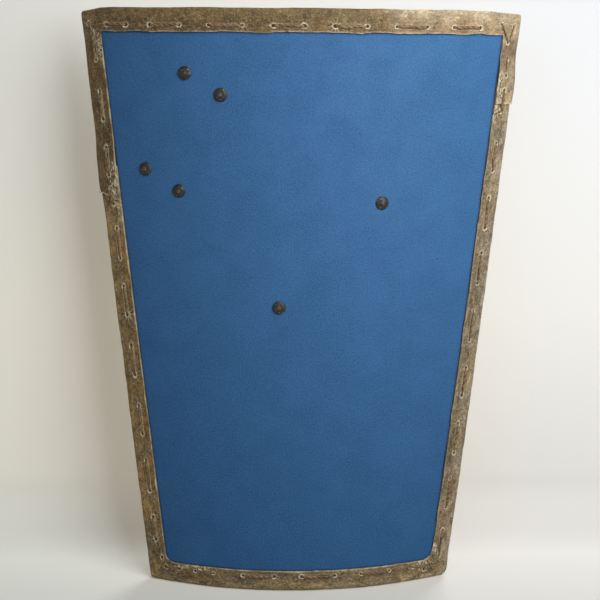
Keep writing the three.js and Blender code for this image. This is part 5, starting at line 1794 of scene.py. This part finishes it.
def make_keeper():
    """A leather band round strap and billet: a rounded rectangle whose own section is a strap's."""
    strap = STRAP["forearm"]
    half = strap.width / 2 + KEEPER_SLACK + KEEPER_THICKNESS / 2
    low = BAR_HEIGHT + CHAPE_RADIUS - LEATHER / 2 - GAP - KEEPER_THICKNESS / 2
    high = BAR_HEIGHT + BILLET_LIFT + LEATHER / 2 + GAP + KEEPER_THICKNESS / 2
    rounding = KEEPER_ROUNDING
    corners = [
        (half - rounding, high - rounding, rounding, 0.0),
        (rounding - half, high - rounding, rounding, 0.5 * np.pi),
        (rounding - half, low + rounding, rounding, np.pi),
        (half - rounding, low + rounding, rounding, 1.5 * np.pi),
    ]
    across, height = quarter_frame(corners, arc_points=8, step=0.0009).T
    world = strap.standing(BAR_OFFSET - KEEPER_PLACE, height, across)
    half_width, half_thickness = KEEPER_LENGTH / 2, KEEPER_THICKNESS / 2
    rings, run = loop_tube(world, strap.x, half_width, half_thickness, KEEPER_SIDES, squareness=6)
    piece = tube_piece("keeper_band", rings, run, loop=True)
    edge = np.abs(np.cos(np.linspace(0, 2 * np.pi, KEEPER_SIDES, endpoint=False))) > 0.96
    set_mask(piece.data, "edge", np.broadcast_to(edge, rings.shape[:2]))
    dress(piece, "keeper", "strap_leather", HARNESS, "strap_keeper")


def make_stitching():
    """Saddle stitches that close the chape: short threads in two rows, seen on the side towards the
    board."""
    strap = STRAP["forearm"]
    under = BAR_HEIGHT + CHAPE_RADIUS - LEATHER - GAP - LEATHER / 2
    t = np.linspace(-1, 1, 9)
    height = under - 0.0002 * np.sqrt(np.clip(1 - t**2, 0, 1))
    thick = THREAD_RADIUS * np.sqrt(np.clip(1.05 - t**2, 0, 1))
    parts = []
    for across in (-STITCH_ROW, STITCH_ROW):
        for s in np.arange(BAR_OFFSET + STITCH_FIRST, BAR_OFFSET + STITCH_LAST, STITCH_PITCH):
            line = strap.standing(s + STITCH_HALF_LENGTH * t, height, across + 0.0002 * t)
            rings, _ = tube(line, strap.z, thick, thick, sides=8, squareness=2)
            parts.append((rings, capped_quads(*rings.shape[:2])))
    piece = join("chape_stitches", parts)
    dress(piece, "shield", "strap_leather", THREAD)


# Stage


def stage_piece(name, points, faces, paper):
    """A smooth sheet of the backdrop."""
    mesh = bpy.data.meshes.new(name)
    mesh.from_pydata(points.reshape(-1, 3).tolist(), [], faces.tolist())
    mesh.polygons.foreach_set("use_smooth", np.ones(len(mesh.polygons), bool))
    piece = bpy.data.objects.new(name, mesh)
    bpy.context.scene.collection.objects.link(piece)
    mesh.materials.append(paper)


def make_stage():
    """A pale paper sweep: floor, a quarter circle up, and a wall close behind the shield, with the
    floor carried on under the wall for views from behind."""
    wall, front, back, half = 0.15, -4.5, 4.5, 4.5
    cove, top = 0.09, 3.5
    turn = np.linspace(0, np.pi / 2, 16)
    y = np.concatenate([[front], wall - cove + cove * np.sin(turn), [wall]])
    z = np.concatenate([[0.0], cove - cove * np.cos(turn), [top]])
    x = np.array([-half, half])
    points = np.stack(np.broadcast_arrays(x[None, :], y[:, None], z[:, None]), -1)
    paper = backdrop_paper("backdrop_paper", 1.0)
    stage_piece("paper_sweep", points, grid_quads(len(y), 2)[:, ::-1], paper)
    y = np.array([wall - cove, back])
    points = np.stack(np.broadcast_arrays(x[None, :], y[:, None], np.zeros((2, 2))), -1)
    paper = backdrop_paper("paper_behind", 1.17)
    stage_piece("paper_behind", points, grid_quads(2, 2)[:, ::-1], paper)


def area_light(name, location, target, size, watts, colour):
    """A square lamp that looks at the target."""
    lamp = bpy.data.lights.new(name, "AREA")
    lamp.shape = "SQUARE"
    lamp.size = size
    lamp.energy = watts
    lamp.color = colour
    holder = bpy.data.objects.new(name, lamp)
    holder.location = location
    holder.rotation_euler = (Vector(target) - Vector(location)).to_track_quat("-Z", "Y").to_euler()
    bpy.context.scene.collection.objects.link(holder)


def make_lights():
    """A soft key from the upper right, weak fills from the left and from behind, and an even dim
    world."""
    middle = (0.0, 0.0, HEIGHT / 2)
    area_light("key", (0.6, -0.9, 1.2), middle, 1.1, 20, (1.0, 0.985, 0.96))
    area_light("fill", (-1.8, -2.6, 1.4), middle, 2.0, 12, (0.97, 0.985, 1.0))
    area_light("rear", (1.3, 2.4, 1.7), middle, 1.6, 62, (1.0, 0.985, 0.955))
    world = bpy.data.worlds.new("studio")
    world.use_nodes = True
    tree = world.node_tree
    background = tree.nodes["Background"]
    background.inputs["Color"].default_value = (1.0, 0.99, 0.975, 1)
    ray = tree.nodes.new("ShaderNodeLightPath").outputs
    seen = either(tree, ray["Is Camera Ray"], ray["Is Transmission Ray"])
    put(tree, background, "Strength", ramp(tree, seen, 0.0, 1.0, 0.14, 0.80))
    bpy.context.scene.world = world


def make_camera():
    """The photograph's camera: it looks at the target from the fitted distance, elevation and azimuth,
    with the fitted roll, and its lens is the focal length in pixels over the image size, on the
    sensor."""
    ce, se = math.cos(CAMERA_ELEVATION), math.sin(CAMERA_ELEVATION)
    ca, sa = math.cos(CAMERA_AZIMUTH), math.sin(CAMERA_AZIMUTH)
    back = Vector((sa * ce, -ca * ce, se))
    right = (-back).cross(Vector((0, 0, 1))).normalized()
    up = right.cross(-back)
    cr, sr = math.cos(CAMERA_ROLL), math.sin(CAMERA_ROLL)
    right, up = cr * right - sr * up, sr * right + cr * up
    camera = bpy.data.cameras.new("photo_view")
    camera.sensor_fit = "HORIZONTAL"
    camera.sensor_width = SENSOR_WIDTH
    camera.lens = SENSOR_WIDTH * FOCAL_PIXELS / IMAGE_SIZE
    holder = bpy.data.objects.new("photo_view", camera)
    turn = Matrix((right, up, back)).transposed().to_4x4()
    holder.matrix_world = Matrix.Translation(Vector(CAMERA_TARGET) + back * CAMERA_DISTANCE) @ turn
    bpy.context.scene.collection.objects.link(holder)
    bpy.context.scene.camera = holder


make_camera()
make_stage()
make_lights()
make_canvas()
make_board()
make_rim()
make_laces()
make_corner_stitches()
make_knot()
make_frays()
make_rivets()
make_plain_strap("hand", "hand_grip_strap")
make_plain_strap("wrist", "wrist_strap")
make_buckle_half()
make_billet()
make_buckle_frame()
make_tongue()
make_keeper()
make_stitching()
bpy.context.scene.view_settings.view_transform = "Standard"
